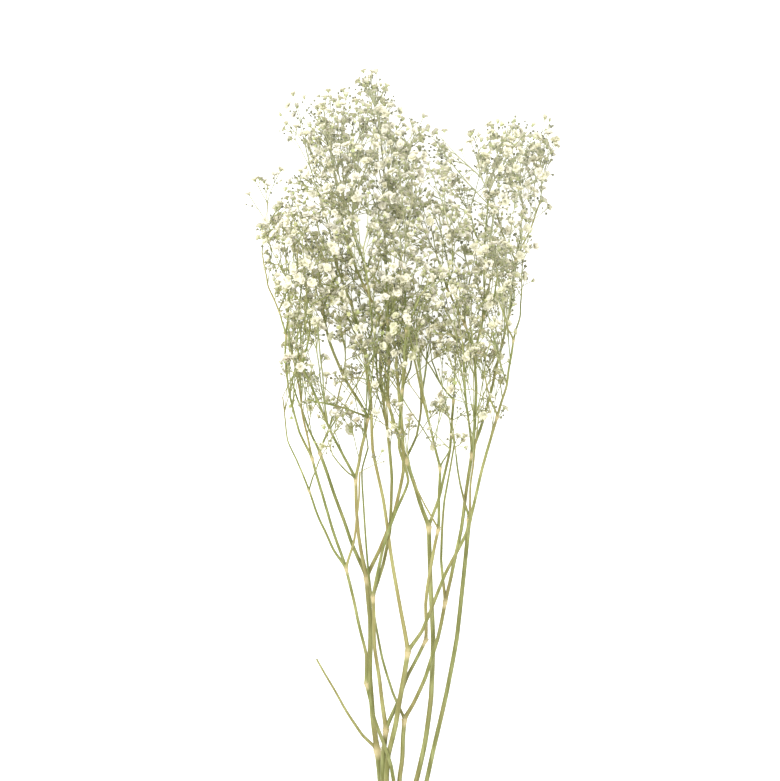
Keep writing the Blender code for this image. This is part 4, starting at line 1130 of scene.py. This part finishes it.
def green_material():
    """Calyces and buds: dull grey-green, dark in the buds, with pale tips."""
    look = Look("dried_calyx", 0.75)
    cup = look.ramp(look.tone, (0.0, (0.35, 0.40, 0.15)), (0.5, (0.46, 0.49, 0.21)),
                    (1.0, (0.43, 0.37, 0.18)))
    shut = look.ramp(look.tone, (0.0, (0.17, 0.18, 0.125)), (0.45, (0.25, 0.26, 0.17)),
                     (0.8, (0.28, 0.26, 0.16)), (1.0, (0.46, 0.45, 0.30)))
    colour = look.blend(look.mark, look.paler_up(cup, 0.65, (0.55, 0.58, 0.34)), shut)
    colour = look.blend(look.spread(look.run, 0.72, 1.0, 0.0, 0.6), colour, (0.62, 0.57, 0.38))
    mottle = look.noise(1300.0, 2.0)
    colour = look.blend(look.spread(mottle, 0.5, 0.75, 0.0, 0.4), colour, (0.20, 0.17, 0.10))
    return look.done(colour, mottle, 0.4, 0.0002)


# The studio, in metres: a white floor just under the part, two lamps, and a camera that looks straight down.
FLOOR_HALF, FLOOR_HEIGHT = 3.0, -0.0004
PAPER = {"Base Color": (0.75, 0.75, 0.75, 1), "Roughness": 1.0, "Specular IOR Level": 0.0,
         "Emission Color": (1, 1, 1, 1), "Emission Strength": 0.65}
LAMPS = (("key", (-0.9, 0.9, 2.4), 62.0, 1.0), ("fill", (1.6, -0.8, 2.2), 16.0, 2.0))  # place, power, size
LIT_SPOT = (0.0, 0.1, 0.05)
PICTURE_WIDTH, PICTURE_MIDDLE = 780, (390, 390.5)
LENS, SENSOR = 400.0, 36.0
FOCUS_HEIGHT = 0.066


def studio():
    corners = [(x * FLOOR_HALF, y * FLOOR_HALF, 0) for x, y in ((-1, -1), (1, -1), (1, 1), (-1, 1))]
    mesh = bpy.data.meshes.new("floor")
    mesh.from_pydata(corners, [], [(0, 1, 2, 3)])
    paper = bpy.data.materials.new("white_paper")
    paper.use_nodes = True
    for name, value in PAPER.items():
        paper.node_tree.nodes["Principled BSDF"].inputs[name].default_value = value
    mesh.materials.append(paper)
    floor = shown("floor", mesh)
    floor.location.z = FLOOR_HEIGHT

    scene = bpy.context.scene
    scene.world = bpy.data.worlds.new("white_room")
    scene.world.use_nodes = True
    room = scene.world.node_tree.nodes["Background"].inputs
    room["Color"].default_value = (1, 1, 1, 1)
    room["Strength"].default_value = 1.0

    for name, spot, power, size in LAMPS:
        lamp = bpy.data.lights.new(name, "AREA")
        lamp.energy, lamp.size = power, size
        held = shown(name, lamp)
        held.location = spot
        held.rotation_euler = (Vector(LIT_SPOT) - Vector(spot)).to_track_quat("-Z", "Y").to_euler()

    camera = bpy.data.cameras.new("camera")
    camera.sensor_fit = "HORIZONTAL"
    camera.sensor_width, camera.lens, camera.clip_end = SENSOR, LENS, 100.0
    distance = LENS / SENSOR * PICTURE_WIDTH * PIXEL * MM
    x, y = PICTURE_MIDDLE
    scene.camera = shown("camera", camera)
    scene.camera.location = ((x - PLAN_X) * PIXEL * MM, (PLAN_Y - y) * PIXEL * MM, FOCUS_HEIGHT + distance)
    scene.view_settings.view_transform = "Standard"
    scene.view_settings.look = "None"


def main():
    draw = random.Random(SEED)
    framework = Framework()
    tips = list(framework.tips())
    shares = [[] for _ in tips]
    for spot in bloom_places(framework, draw):
        shares[nearest_tip(spot, tips)].append(spot)
    grown = {
        name: spray(end, heading, radius, blooms)
        for (name, end, heading, radius), blooms in zip(tips, shares)
        if blooms
    }
    sprays = thinned(framework, grown)
    dresser = Dresser(random.Random(SEED + 1), tips)
    dresser.dress(framework.limb("stalk"), None, "stem")
    held = {group: [] for group in GROUPS}
    for name, end, heading, _ in tips:
        if name in sprays:
            sprays[name].points[0] = end
            dresser.dress(sprays[name], heading, group_of(name))
            held[group_of(name)].append("spray_" + name)
    dresser.fill()
    branch = stem_material("dried_branch", (0.165, 0.198, 0.045), (0.178, 0.180, 0.048), (0.38, 0.39, 0.16),
                           (0.60, 0.50, 0.27), 0.72, 0.1)
    twig_look = stem_material("dried_twig", (0.215, 0.24, 0.085), (0.19, 0.22, 0.045), (0.42, 0.43, 0.20),
                              (0.42, 0.38, 0.19), 0.93, 0.45)
    petals, greens = petal_material(), green_material()
    dresser.twigs["stem"].piece("stem_dressed", branch, "stem", ["stem"])
    for group in GROUPS:
        dresser.twigs[group].piece("twigs_" + group, twig_look, "stem", held[group])
        dresser.petals[group].piece("florets_" + group, petals, "floret", held[group])
        dresser.greens[group].piece("buds_" + group, greens, "floret", held[group])
    studio()


main()
